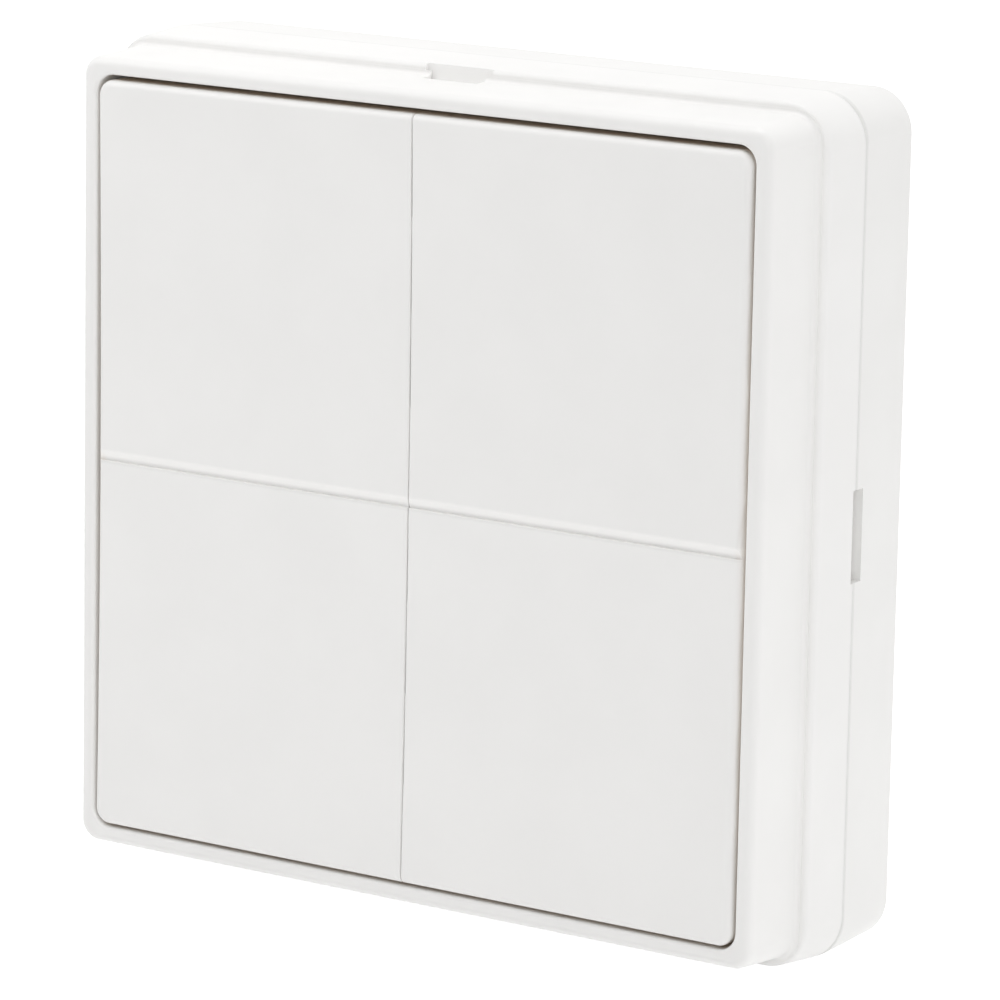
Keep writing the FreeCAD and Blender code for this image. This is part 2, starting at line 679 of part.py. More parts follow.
def make_rocker(side_name):
    """One rocker: a dished paddle, hollow behind, with two lugs, two trunnions and two studs."""
    side = SIDES[side_name]
    body = new_body(f"rocker_{side_name}")
    centre = f"{side} * {ROCKER_CENTRE}"
    outer = f"{side} * {ROCKERS_HALF}"
    inner = f"{side} * rocker_split / 2"
    left = f"({centre}) - {ROCKER_WIDTH} / 2"

    # The rocker's top edge keeps a wider gap than its other edges.
    low = f"-{ROCKERS_HALF}"
    high = f"({OPENING_HALF} - rocker_top_gap)"
    middle = f"(({high} - {ROCKERS_HALF}) / 2)"
    half = f"(({high} + {ROCKERS_HALF}) / 2)"
    dish_radius = f"(({half} * {half} + rocker_dish * rocker_dish) / (2 * rocker_dish))"
    profile = Outline(body, "profile", left, "YZ_Plane")
    profile.chain(
        [
            (f"-{ROCKER_BACK}", low),
            (f"-{ROCKER_FRONT}", low),
            (f"-{ROCKER_FRONT}", high),
            (f"-{ROCKER_BACK}", high),
        ],
        {1: (f"-({ROCKER_FRONT} - rocker_dish + {dish_radius})", middle)},
    )
    pad(body, "blank", profile, ROCKER_WIDTH)
    round_edges(body, "outer_corners", upright(outer), "rocker_corner")

    # The face is rounded on its three outer sides, and then all round the side by the split.
    shallowest = -number(f"{ROCKER_FRONT} - rocker_dish") + TOUCH
    forward = -number(ROCKER_BACK) - TOUCH
    by_split = across_at(inner)

    def outer_edge(edge):
        return edge.BoundBox.YMax < shallowest and not by_split(edge)

    def split_edge(edge):
        return edge.BoundBox.YMin < forward and by_split(edge)

    round_edges(body, "face_edge", outer_edge, "rocker_edge")
    round_edges(body, "split_edge", split_edge, "rocker_split_edge")

    # The groove is a ramp that sinks downwards and then a short steep step out again.
    bottom = f"({ROCKER_FRONT} - rocker_dish - groove_sink)"
    mouth = f"({bottom} + {GROOVE_PAST} * groove_sink)"
    groove = Outline(body, "groove_outline", f"({left}) - {OVERRUN}", "YZ_Plane").polygon(
        [
            (f"-{bottom}", "-groove_drop"),
            (f"-{mouth}", f"-groove_drop + {GROOVE_PAST} * groove_ramp"),
            (f"-{mouth}", f"-groove_drop - {GROOVE_PAST} * groove_step"),
        ]
    )
    pocket(body, "groove", groove, f"{ROCKER_WIDTH} + 2 * {OVERRUN}", to_front=True)

    hollow = Outline(body, "hollow_outline", ROCKER_BACK)
    inside_width = f"{ROCKER_WIDTH} - 2 * rocker_wall"
    inside_height = f"2 * ({half} - rocker_wall)"
    hollow.block(centre, middle, inside_width, inside_height)
    pocket(body, "hollow", hollow, f"{SKIN_BACK} - {ROCKER_BACK}", to_front=True)
    inside_edge = f"({centre}) + {side} * ({inside_width}) / 2"
    round_edges(body, "hollow_corners", upright(inside_edge), "rocker_inside_corner")

    for sign in SIDES.values():
        start = f"({centre}) + {sign} * ({LUG_OUTSIDE} - lug_thickness / 2) - lug_thickness / 2"
        lug = Outline(body, "lug_outline", start, "YZ_Plane")
        lug.chain(
            [
                (f"-{PIVOT}", f"-{LUG_RADIUS}"),
                (f"-{PIVOT}", LUG_RADIUS),
                (f"-({SKIN_BACK} + root)", LUG_RADIUS),
                (f"-({SKIN_BACK} + root)", f"-{LUG_RADIUS}"),
            ],
            {0: (f"-{PIVOT}", "0")},
        )
        pad(body, "lug", lug, "lug_thickness")
        trunnion_length = "lug_thickness + side_clearance + post_thickness"
        tip = "0" if sign > 0 else "side_clearance + post_thickness"
        pin = Outline(body, "trunnion_outline", f"{start} - ({tip})", "YZ_Plane")
        pin.circle(f"-{PIVOT}", "0", "pin_radius")
        pad(body, "trunnion", pin, trunnion_length)

    studs = Outline(body, "stud_outline", STUD_TIP)
    for end in ENDS.values():
        studs.circle(centre, f"{end} * plunger_pitch / 2", "stud_radius")
    pad(body, "studs", studs, "stud_length + root")
    return body


def make_plunger(place, across, up):
    """One plunger, which stands in its switch and reaches forward to the rocker's stud."""
    body = new_body(f"switch_plunger_{place}")
    foot = f"({SWITCH_FRONT} - plunger_grip)"
    tip = f"({STUD_TIP} - press_gap)"
    rod = Outline(body, "rod_outline", foot).circle("0", "0", "plunger_radius")
    pad(body, "rod", rod, f"{tip} - {foot}")
    round_edges(body, "dome", level_with(tip), "plunger_dome")
    body.setExpression("Placement.Base.x", bound(across))
    body.setExpression("Placement.Base.z", bound(up))
    return body


def make_switch_body(place, across, up):
    """The housing of one push switch, soldered to the board's front."""
    body = new_body(f"switch_body_{place}")
    case = Outline(body, "case_outline", BOARD_FRONT).block("0", "0", "switch_width", "switch_width")
    pad(body, "case", case, "switch_height")
    cavity = Outline(body, "cavity_outline", SWITCH_FRONT)
    cavity.circle("0", "0", "plunger_radius + guide_clearance")
    pocket(body, "cavity", cavity, "plunger_grip + plunger_travel")
    body.setExpression("Placement.Base.x", bound(across))
    body.setExpression("Placement.Base.z", bound(up))
    return body


def make_circuit_board():
    """The board, screwed between the deck's bosses and the rear cover."""
    body = new_body("circuit_board")
    board = Outline(body, "board_outline", BOARD_BACK).square(BOARD_HALF, "board_corner")
    pad(body, "board", board, "board_thickness")
    holes = Outline(body, "screw_hole_outline", BOARD_FRONT)
    for across, up in screw_places():
        holes.circle(across, up, "screw_radius + screw_room")
    pocket(body, "screw_holes", holes, "board_thickness")
    return body


def make_chip(name, across, up, width, height, thickness):
    """A flat package on the board's front, with a small chamfer round its top."""
    body = new_body(name)
    outline = Outline(body, "package_outline", BOARD_FRONT).block("0", "0", width, height)
    pad(body, "package", outline, thickness)
    base = body.Tip
    on_top = level_with(f"{BOARD_FRONT} + {thickness}")
    edges = [f"Edge{place}" for place, edge in enumerate(base.Shape.Edges, start=1) if on_top(edge)]
    chamfer = body.newObject("PartDesign::Chamfer", "top_chamfer")
    chamfer.Base = (base, edges)
    chamfer.setExpression("Size", bound("chip_chamfer"))
    body.setExpression("Placement.Base.x", bound(across))
    body.setExpression("Placement.Base.z", bound(up))
    doc.recompute()
    return body


def make_radio_board():
    """The small radio module board, soldered flat on the board's front."""
    body = new_body("radio_board")
    outline = Outline(body, "module_outline", BOARD_FRONT)
    outline.block("0", "0", "radio_width", "radio_length")
    pad(body, "module", outline, "radio_thickness")
    body.setExpression("Placement.Base.x", bound(RADIO_ACROSS))
    return body


def make_radio_shield():
    """A five-sided sheet metal can over the radio."""
    body = new_body("radio_shield")
    foot = f"({BOARD_FRONT} + radio_thickness)"
    can = Outline(body, "can_outline", foot).block("0", "0", "shield_width", "shield_length")
    pad(body, "can", can, "shield_height")
    inside = Outline(body, "can_inside", foot)
    inside.block("0", "0", "shield_width - 2 * shield_sheet", "shield_length - 2 * shield_sheet")
    pocket(body, "hollow", inside, "shield_height - shield_sheet", to_front=True)
    body.setExpression("Placement.Base.x", bound(RADIO_ACROSS))
    return body


def make_antenna_wire():
    """The wire antenna, which runs up from the radio board and then along the board's top."""
    body = new_body("antenna_wire")
    level = f"({BOARD_FRONT} + wire_radius + wire_seat)"
    top = f"({BOARD_HALF} - wire_margin)"
    turned = f"({RADIO_ACROSS} - wire_bend)"
    route = Outline(body, "route", level).chain(
        [
            (RADIO_ACROSS, "radio_length / 2"),
            (RADIO_ACROSS, f"{top} - wire_bend"),
            (turned, top),
            (f"-({SCREW_PLACE} - boss_radius - wire_end_gap)", top),
        ],
        {1: (turned, f"{top} - wire_bend")},
        closed=False,
    )
    section = Outline(body, "section", "radio_length / 2", "XY_Plane")
    section.circle(RADIO_ACROSS, f"-{level}", "wire_radius")
    pipe = body.newObject("PartDesign::AdditivePipe", "wire")
    pipe.Profile = section.sketch
    pipe.Spine = route.sketch
    doc.recompute()
    return body


def make_storage_capacitor():
    """The round capacitor that covers the radio's current peaks."""
    body = new_body("storage_capacitor")
    can = Outline(body, "can_outline", BOARD_FRONT).circle("0", "0", "capacitor_radius")
    pad(body, "can", can, "capacitor_height")
    round_edges(body, "can_edge", level_with(f"{BOARD_FRONT} + capacitor_height"), "capacitor_edge")
    body.setExpression("Placement.Base.x", bound("capacitor_across"))
    return body


def make_cell_holder():
    """The plastic ring on the board's back that the coin cell drops into."""
    body = new_body("cell_holder")
    ring = Outline(body, "ring_outline", BOARD_BACK).circle("0", "0", HOLDER_OUTSIDE)
    pad(body, "ring", ring, "holder_depth", to_wall=True)
    well = Outline(body, "well_outline", HOLDER_BACK).circle("0", "0", HOLDER_INSIDE)
    pocket(body, "well", well, "holder_depth - cell_lift", to_front=True)
    floor_hole = Outline(body, "floor_outline", BOARD_BACK)
    floor_hole.circle("0", "0", f"{CAP_RADIUS} + cap_clearance")
    pocket(body, "floor_hole", floor_hole, "cell_lift")

    gap = Outline(body, "contact_gap_outline", BOARD_BACK)
    gap_half = "(contact_width / 2 + contact_room)"
    gap.rectangle(
        f"-{gap_half}", "cell_radius - contact_room", gap_half, f"{HOLDER_OUTSIDE} + {OVERRUN}"
    )
    pocket(body, "contact_gap_cut", gap, "holder_depth")

    latch_back = f"({CELL_BACK} - latch_gap - latch_height)"
    posts = Outline(body, "latch_post_outline", f"{HOLDER_BACK} + latch_height")
    lips = Outline(body, "latch_lip_outline", f"{CELL_BACK} - latch_gap")
    inside = f"({HOLDER_INSIDE} + contact_gap)"
    outside = f"({HOLDER_OUTSIDE} - contact_room)"
    for side in SIDES.values():
        post_middle = f"{side} * ({inside} + {outside}) / 2"
        posts.block(post_middle, "0", f"{outside} - {inside}", "latch_width")
        lip_start = f"({inside} - latch_reach)"
        lip_middle = f"{side} * ({lip_start} + {outside}) / 2"
        lips.block(lip_middle, "0", f"{outside} - {lip_start}", "latch_width")
    pad(body, "latch_posts", posts, f"{HOLDER_BACK} + latch_height - {latch_back}", to_wall=True)
    pad(body, "latch_lips", lips, "latch_height", to_wall=True)
    body.setExpression("Placement.Base.z", bound("-cell_drop"))
    return body


def make_coin_cell():
    """The coin cell, with its smaller cap towards the board."""
    body = new_body("coin_cell")
    can = Outline(body, "can_outline", CELL_FRONT).circle("0", "0", "cell_radius")
    pad(body, "can", can, "cell_height - cap_height", to_wall=True)
    round_edges(body, "can_edge", level_with(CELL_BACK), "cell_edge")
    cap = Outline(body, "cap_outline", CELL_FRONT).circle("0", "0", CAP_RADIUS)
    pad(body, "cap", cap, "cap_height")
    body.setExpression("Placement.Base.z", bound("-cell_drop"))
    return body


def make_contact_positive():
    """The upright sheet contact that bears on the cell's rim, with its foot on the board."""
    body = new_body("contact_positive")
    near = "(cell_radius + contact_gap)"
    bent = f"({near} + contact_sheet)"
    far = f"({near} + contact_foot)"
    tip = f"({HOLDER_BACK} + contact_sheet)"
    sheet_front = f"({BOARD_BACK} - contact_sheet)"
    strip = Outline(body, "strip_outline", "-contact_width / 2", "YZ_Plane").polygon(
        [
            (f"-{BOARD_BACK}", near),
            (f"-{BOARD_BACK}", far),
            (f"-{sheet_front}", far),
            (f"-{sheet_front}", bent),
            (f"-{tip}", bent),
            (f"-{tip}", near),
        ]
    )
    pad(body, "strip", strip, "contact_width")
    body.setExpression("Placement.Base.z", bound("-cell_drop"))
    return body


def make_contact_negative():
    """The leaf under the cell's cap: a foot on the board, a slope, and a pad at the cap."""
    body = new_body("contact_negative")
    foot_back = f"({BOARD_BACK} - leaf_sheet)"
    leaf_back = f"({CELL_FRONT} + cap_height + contact_gap)"
    leaf_front = f"({leaf_back} + leaf_sheet)"
    foot_end = "(leaf_length / 2)"
    foot_start = "(leaf_length / 2 + leaf_length)"
    leaf = Outline(body, "leaf_outline", "-contact_width / 2", "YZ_Plane").polygon(
        [
            (f"-{BOARD_BACK}", f"-{foot_start}"),
            (f"-{foot_back}", f"-{foot_start}"),
            (f"-{foot_back}", f"-{foot_end}"),
            (f"-{leaf_back}", foot_end),
            (f"-{leaf_back}", foot_start),
            (f"-{leaf_front}", foot_start),
            (f"-{leaf_front}", foot_end),
            (f"-{BOARD_BACK}", f"-{foot_end}"),
        ]
    )
    pad(body, "leaf", leaf, "contact_width")
    body.setExpression("Placement.Base.z", bound("-cell_drop"))
    return body


def make_rear_cover():
    """The cover behind the board, with a window for the coin cell and its holder."""
    body = new_body("rear_cover")
    plate = Outline(body, "plate_outline", COVER_BACK).square(BOARD_HALF, "board_corner")
    pad(body, "plate", plate, "cover_thickness + cover_gap")
    room = Outline(body, "room_outline", BOARD_BACK)
    room.square(f"{BOARD_HALF} - cover_wall", "board_corner / 2")
    pocket(body, "room", room, "cover_gap")
    pillars = Outline(body, "pillar_outline", COVER_INSIDE)
    holes = Outline(body, "screw_hole_outline", BOARD_BACK)
    sinks = Outline(body, "head_sink_outline", COVER_BACK)
    for across, up in screw_places():
        pillars.circle(across, up, "head_radius + head_clearance + cover_wall / 2")
        holes.circle(across, up, "screw_radius + screw_room")
        sinks.circle(across, up, "head_radius + head_clearance")
    pad(body, "pillars", pillars, "cover_gap")
    pocket(body, "screw_holes", holes, "cover_gap + cover_thickness")
    pocket(body, "head_sinks", sinks, "head_height", to_front=True)
    window = Outline(body, "window_outline", COVER_INSIDE)
    window.circle("0", "-cell_drop", f"{HOLDER_OUTSIDE} + window_clearance")
    pocket(body, "window", window, "cover_thickness")
    return body


def make_cover_screws():
    """Four equal screws, heads in the cover's sinks and tips in the deck's bosses."""
    body = new_body("cover_screws")
    body.AllowCompound = True
    head_front = f"({COVER_BACK} + head_height)"
    heads = Outline(body, "head_outline", COVER_BACK)
    shanks = Outline(body, "shank_outline", head_front)
    level_bars = Outline(body, "level_drive_outline", COVER_BACK)
    upright_bars = Outline(body, "upright_drive_outline", COVER_BACK)
    for across, up in screw_places():
        heads.circle(across, up, "head_radius")
        shanks.circle(across, up, "screw_radius")
        level_bars.block(across, up, "drive_length", "drive_width")
        upright_bars.block(across, up, "drive_width", "drive_length")
    pad(body, "heads", heads, "head_height")
    pad(body, "shanks", shanks, f"{BOARD_FRONT} + screw_bite - {head_front}")
    pocket(body, "level_drives", level_bars, "drive_depth", to_front=True)
    pocket(body, "upright_drives", upright_bars, "drive_depth", to_front=True)
    return body


def make_all():
    """Every sub-part of the switch, from the wall to the front."""
    bodies = [make_back_box(), make_rear_cover(), make_cover_screws()]
    bodies += [make_coin_cell(), make_cell_holder(), make_contact_positive(), make_contact_negative()]
    bodies += [make_circuit_board(), make_radio_board(), make_radio_shield(), make_antenna_wire()]
    bodies.append(make_storage_capacitor())
    bodies.append(
        make_chip("microcontroller", "-chip_across", "0", "chip_width", "chip_width", "chip_thickness")
    )
    bodies.append(
        make_chip(
            "crystal_can",
            "-crystal_across",
            "-(chip_width / 2 + crystal_gap + crystal_length / 2)",
            "crystal_width",
            "crystal_length",
            "crystal_thickness",
        )
    )
    for place, (across, up) in switch_places().items():
        bodies.append(make_switch_body(place, across, up))
        bodies.append(make_plunger(place, across, up))
    bodies += [make_carrier_frame(), make_front_frame()]
    bodies += [make_rocker(side_name) for side_name in SIDES]
    return bodies


def check(bodies):
    """Stops before anything is written if an object failed or a shape isn't sound."""
    for item in doc.Objects:
        if "Invalid" in item.State or "Error" in item.State:
            raise RuntimeError(f"{item.Label} failed: {item.State}")
    for body in bodies:
        if body.Shape.isNull() or not body.Shape.isValid():
            raise RuntimeError(f"{body.Label} has no sound shape")
        print(f"{body.Label}: {len(body.Shape.Solids)} solid, {body.Shape.Volume:.2f} mm3")


def write(bodies):
    """Writes each sub-part to a file of its own name."""
    os.makedirs("parts", exist_ok=True)
    for body in bodies:
        body.Shape.exportStep(f"parts/{body.Label}.step")


fill_sheet()
all_bodies = make_all()
doc.recompute()
check(all_bodies)
write(all_bodies)
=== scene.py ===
import logging
import math
from dataclasses import dataclass, field
from enum import Enum
from typing import Any, Union

import bmesh
import bpy
from mathutils import Matrix, Vector


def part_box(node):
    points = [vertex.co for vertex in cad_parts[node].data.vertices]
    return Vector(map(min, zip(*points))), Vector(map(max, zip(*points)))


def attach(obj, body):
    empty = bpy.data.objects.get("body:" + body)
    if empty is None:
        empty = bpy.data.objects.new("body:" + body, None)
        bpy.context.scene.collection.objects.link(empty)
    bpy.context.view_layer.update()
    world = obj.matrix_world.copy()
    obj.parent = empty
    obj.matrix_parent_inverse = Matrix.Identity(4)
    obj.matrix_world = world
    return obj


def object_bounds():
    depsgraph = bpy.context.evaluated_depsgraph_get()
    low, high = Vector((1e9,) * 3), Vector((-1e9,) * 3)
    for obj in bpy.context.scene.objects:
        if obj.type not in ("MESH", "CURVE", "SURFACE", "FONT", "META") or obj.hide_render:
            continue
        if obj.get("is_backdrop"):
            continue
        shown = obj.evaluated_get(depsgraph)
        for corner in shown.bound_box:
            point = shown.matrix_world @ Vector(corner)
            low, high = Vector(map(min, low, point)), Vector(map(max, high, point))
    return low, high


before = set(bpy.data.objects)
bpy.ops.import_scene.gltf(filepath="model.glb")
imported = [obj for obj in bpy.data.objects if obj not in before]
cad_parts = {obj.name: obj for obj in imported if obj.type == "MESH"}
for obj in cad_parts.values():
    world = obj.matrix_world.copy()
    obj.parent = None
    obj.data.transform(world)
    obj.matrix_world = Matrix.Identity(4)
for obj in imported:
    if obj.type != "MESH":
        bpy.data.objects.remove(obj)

LOG = logging.getLogger("wall_switch")
MM = 0.001
SAME_POINT = 1e-7
# Corners and faces are numbered along this slanting direction, because some operators leave them
# in another order on each run.
NUMBERING = Vector((1.0, 0.6180339887, 0.4142135624))
HOUSING = "housing"
Colour = tuple[float, float, float]
Point = tuple[float, float, float]
Pair = tuple[float, float]
WHITE: Colour = (1.0, 1.0, 1.0)


def scaled(colour: Colour, factor: float) -> Colour:
    """Returns a colour made lighter or darker, at most white."""
    return tuple(min(1.0, value * factor) for value in colour)


class Slot(Enum):
    """Two of the record's material slots, by name."""

    BLACK = "black_plastic"
    SHEET = "sheet_metal"


class Side(Enum):
    """Left or right, as seen by someone facing the switch."""

    LEFT = -1
    RIGHT = 1


class End(Enum):
    """The lower or the upper half of a rocker."""

    LOWER = -1
    UPPER = 1


class Wire:
    """A number in a node tree. Arithmetic on it adds Math nodes."""

    def __init__(self, tree: "Tree", socket: bpy.types.NodeSocket) -> None:
        """Keeps the socket and the tree it belongs to.

        Args:
            tree: The tree that new nodes go to.
            socket: The output socket that holds the number.
        """
        self.tree = tree
        self.socket = socket

    def __add__(self, other: "Number") -> "Wire":
        """Returns self + other."""
        return self.tree.maths("ADD", self, other)

    def __radd__(self, other: "Number") -> "Wire":
        """Returns other + self."""
        return self.tree.maths("ADD", other, self)

    def __sub__(self, other: "Number") -> "Wire":
        """Returns self - other."""
        return self.tree.maths("SUBTRACT", self, other)

    def __rsub__(self, other: "Number") -> "Wire":
        """Returns other - self."""
        return self.tree.maths("SUBTRACT", other, self)

    def __mul__(self, other: "Number") -> "Wire":
        """Returns self * other."""
        return self.tree.maths("MULTIPLY", self, other)

    def __rmul__(self, other: "Number") -> "Wire":
        """Returns other * self."""
        return self.tree.maths("MULTIPLY", other, self)

    def __truediv__(self, other: "Number") -> "Wire":
        """Returns self / other."""
        return self.tree.maths("DIVIDE", self, other)

    def __rtruediv__(self, other: "Number") -> "Wire":
        """Returns other / self."""
        return self.tree.maths("DIVIDE", other, self)

    def __pow__(self, other: "Number") -> "Wire":
        """Returns self to the power of other."""
        return self.tree.maths("POWER", self, other)

    def __abs__(self) -> "Wire":
        """Returns the size of the number without its sign."""
        return self.tree.maths("ABSOLUTE", self)

    def larger(self, other: "Number") -> "Wire":
        """Returns the larger of the two."""
        return self.tree.maths("MAXIMUM", self, other)

    def whole(self) -> "Wire":
        """Returns the whole number below."""
        return self.tree.maths("FLOOR", self)

    def fraction(self) -> "Wire":
        """Returns what is left above the whole number below."""
        return self.tree.maths("FRACT", self)

    def off_middle(self) -> "Wire":
        """Returns how far the fraction is from a half, for evenly repeated lines."""
        return abs(self.fraction() - 0.5)

    def swing(self, width: float) -> "Wire":
        """Returns a pattern of 0 to 1 as one of this width about 0."""
        return (self - 0.5) * width

    def rise(self, low: float, high: float) -> "Wire":
        """A smooth step up.

        Args:
            low: Where the step starts from 0.
            high: Where it has reached 1. If it is below low, the step goes down instead.

        Returns:
            The step, from 0 to 1.
        """
        start, end = min(low, high), max(low, high)
        step = self.tree.node(
            "ShaderNodeMapRange",
            {"interpolation_type": "SMOOTHSTEP"},
            {"Value": self, "From Min": start, "From Max": end},
        )
        result = Wire(self.tree, step.outputs[0])
        return result if low < high else 1 - result


Number = Union[float, Wire]
Paint = Union[Colour, bpy.types.NodeSocket]


class Tree:
    """The nodes of one material or of the world."""

    def __init__(self, owner: Union[bpy.types.Material, bpy.types.World]) -> None:
        """Starts an empty tree.

        Args:
            owner: The material or world that the tree belongs to.
        """
        owner.use_nodes = True
        self.nodes = owner.node_tree.nodes
        self.links = owner.node_tree.links
        self.nodes.clear()

    def node(
        self, kind: str, settings: dict[str, Any], sockets: dict[Union[str, int], Any]
    ) -> bpy.types.Node:
        """Adds one node.

        Args:
            kind: The node's type.
            settings: Its own settings, such as an operation, which are set before its sockets.
            sockets: Values, wires or sockets for its inputs, by name, identifier or place.

        Returns:
            The node.
        """
        made = self.nodes.new(kind)
        for name, value in settings.items():
            setattr(made, name, value)
        for key, value in sockets.items():
            target = self.input_of(made, key)
            if isinstance(value, Wire):
                self.links.new(value.socket, target)
            elif isinstance(value, bpy.types.NodeSocket):
                self.links.new(value, target)
            elif target.type == "RGBA":
                target.default_value = (*value, 1.0)
            else:
                target.default_value = value
        return made

    @staticmethod
    def input_of(made: bpy.types.Node, key: Union[str, int]) -> bpy.types.NodeSocket:
        """Finds an input.

        Args:
            made: The node.
            key: The input's place, identifier or name.

        Returns:
            The input socket.
        """
        if isinstance(key, int):
            return made.inputs[key]
        for socket in made.inputs:
            if socket.identifier == key:
                return socket
        return made.inputs[key]

    def maths(self, operation: str, *values: Number) -> Wire:
        """Adds a Math node.

        Args:
            operation: The node's operation.
            values: Its inputs in order.

        Returns:
            The result.
        """
        sockets = dict(enumerate(values))
        made = self.node("ShaderNodeMath", {"operation": operation}, sockets)
        return Wire(self, made.outputs[0])

    def blend(self, share: Number, first: Paint, second: Paint) -> bpy.types.NodeSocket:
        """Mixes two colours.

        Args:
            share: How much of the second colour, from 0 to 1.
            first: A colour or a colour socket.
            second: A colour or a colour socket.

        Returns:
            The mixed colour's socket.
        """
        made = self.node(
            "ShaderNodeMix",
            {"data_type": "RGBA"},
            {"Factor_Float": share, "A_Color": first, "B_Color": second},
        )
        return next(end for end in made.outputs if end.identifier == "Result_Color")

    def place(self) -> tuple[Wire, Wire, Wire]:
        """Finds where a point of the piece is.

        Returns:
            Its places across, through and up, in millimetres.
        """
        made = self.node("ShaderNodeTexCoord", {}, {})
        sized = self.node(
            "ShaderNodeVectorMath",
            {"operation": "SCALE"},
            {0: made.outputs["Object"], "Scale": 1 / MM},
        )
        return self.parts(sized.outputs[0])

    def facing(self) -> tuple[Wire, Wire, Wire]:
        """Finds which way the surface faces.

        Returns:
            How far it faces across, through and up, from 0 to 1, without signs.
        """
        made = self.node("ShaderNodeTexCoord", {}, {})
        flat = self.node(
            "ShaderNodeVectorMath", {"operation": "ABSOLUTE"}, {0: made.outputs["Normal"]}
        )
        return self.parts(flat.outputs[0])

    def parts(self, socket: bpy.types.NodeSocket) -> tuple[Wire, Wire, Wire]:
        """Returns a vector's three numbers."""
        made = self.node("ShaderNodeSeparateXYZ", {}, {0: socket})
        return tuple(Wire(self, output) for output in made.outputs)

    def noise(self, size: float, detail: float = 2.0, stretch: Point = (1.0, 1.0, 1.0)) -> Wire:
        """Adds a noise pattern on the piece.

        Args:
            size: The size of its features in millimetres.
            detail: How many finer layers it has.
            stretch: How much finer the pattern is along each axis.

        Returns:
            The pattern, about 0 to 1.
        """
        where = self.node("ShaderNodeTexCoord", {}, {})
        mapped = self.node(
            "ShaderNodeMapping", {}, {"Vector": where.outputs["Object"], "Scale": stretch}
        )
        made = self.node(
            "ShaderNodeTexNoise",
            {},
            {"Vector": mapped.outputs[0], "Scale": 1 / (size * MM), "Detail": detail},
        )
        return Wire(self, made.outputs[0])

    def patches(self, size: float, steps: Pair) -> Wire:
        """Gives each square patch of the piece's front a number of its own.

        Args:
            size: A patch's side in millimetres.
            steps: How much the number grows from patch to patch, across and up.

        Returns:
            The number's fraction, from 0 to 1, the same all over a patch.
        """
        across, _, up = self.place()
        number = (across / size).whole() * steps[0] + (up / size).whole() * steps[1]
        return number.fraction()

    def edges(self, start: float = 0.02, full: float = 0.2) -> Wire:
        """Marks where the surface turns from one face into another.

        Args:
            start: The turn at which the mark starts.
            full: The turn at which it is full.

        Returns:
            1 on rounded edges and 0 on flat faces.
        """
        across, through, up = self.facing()
        return (1 - across.larger(through).larger(up)).rise(start, full)

    def bump(self, height: Wire, depth: float, strength: float = 1.0) -> bpy.types.NodeSocket:
        """Turns a height into a tilt of the surface.

        Args:
            height: The height, from 0 to 1.
            depth: What a height of 1 comes to, in millimetres.
            strength: How strongly it shows, from 0 to 1.

        Returns:
            The normal's socket.
        """
        made = self.node(
            "ShaderNodeBump", {}, {"Height": height, "Distance": depth * MM, "Strength": strength}
        )
        return made.outputs[0]

    def surface(self, sockets: dict[str, Any]) -> None:
        """Ends the tree in a Principled shader with these inputs."""
        shader = self.node("ShaderNodeBsdfPrincipled", {}, sockets)
        self.node("ShaderNodeOutputMaterial", {}, {"Surface": shader.outputs[0]})


@dataclass(frozen=True)
class Finish:
    """What every finish has: a name and a way to paint its nodes.

    In all finishes, sizes and places are in millimetres in the part's frame, and a span says
    where a mask is 0 and where it is 1.
    """

    name: str

    def material(self) -> bpy.types.Material:
        """Returns the finish's material, made the first time that it is asked for.

        Returns:
            The material.
        """
        found = bpy.data.materials.get(self.name)
        if found is None:
            found = bpy.data.materials.new(self.name)
            self.paint(Tree(found))
            LOG.info("finish %s", self.name)
        return found

    def paint(self, tree: Tree) -> None:
        """Fills the material's nodes.

        Args:
            tree: The material's empty tree.
        """
        raise NotImplementedError


@dataclass(frozen=True)
class WhitePlastic(Finish):
    """White moulded plastic: spark-eroded grain, faint flow mottling, shinier rounded edges."""

    colour: Colour = (0.92, 0.913, 0.9)
    dull: float = 0.988
    clean: float = 1.006
    face: float = -23.0
    # Painted shade: a warmer, darker colour on the walls far inside the gap round the rockers, over
    # this span of depth.
    gap_shade_colour: Colour = (0.84, 0.76, 0.67)
    gap_shade_depths: Pair = (0.25, 1.6)
    roughness: float = 0.46
    mottle_size: float = 9.0
    mottle_span: Pair = (0.3, 0.7)
    mottle_rough: float = 0.08
    speck_size: float = 0.9
    speck_rough: float = 0.06
    edge_clean: float = 0.5
    edge_polish: float = 0.1
    grain: float = 0.16
    grain_depth: float = 0.0035
    grain_strength: float = 0.6

    def marked(self, tree: Tree, body: Paint) -> Paint:
        """Paints what only one kind of white piece shows over its plain colour.

        Args:
            tree: The material's tree.
            body: The colour so far.

        Returns:
            The colour with its marks.
        """
        raise NotImplementedError

    def handled(self, tree: Tree, rough: Wire) -> Wire:
        """Returns the roughness as use has left it, here unchanged."""
        return rough

    def paint(self, tree: Tree) -> None:
        """Fills the material's nodes.

        Args:
            tree: The material's empty tree.
        """
        mottle = tree.noise(self.mottle_size, detail=3.0)
        speck = tree.noise(self.speck_size)
        grain = tree.noise(self.grain)
        edge = tree.edges()
        dull = scaled(self.colour, self.dull)
        clean = scaled(self.colour, self.clean)
        body = tree.blend(mottle.rise(*self.mottle_span), clean, dull)
        body = tree.blend(edge * self.edge_clean, body, clean)
        rough = self.roughness + speck.swing(self.speck_rough) + mottle.swing(self.mottle_rough)
        rough = rough - edge * self.edge_polish
        tree.surface(
            {
                "Base Color": self.marked(tree, body),
                "Roughness": self.handled(tree, rough),
                "IOR": 1.52,
                "Normal": tree.bump(grain, self.grain_depth, self.grain_strength),
            }
        )


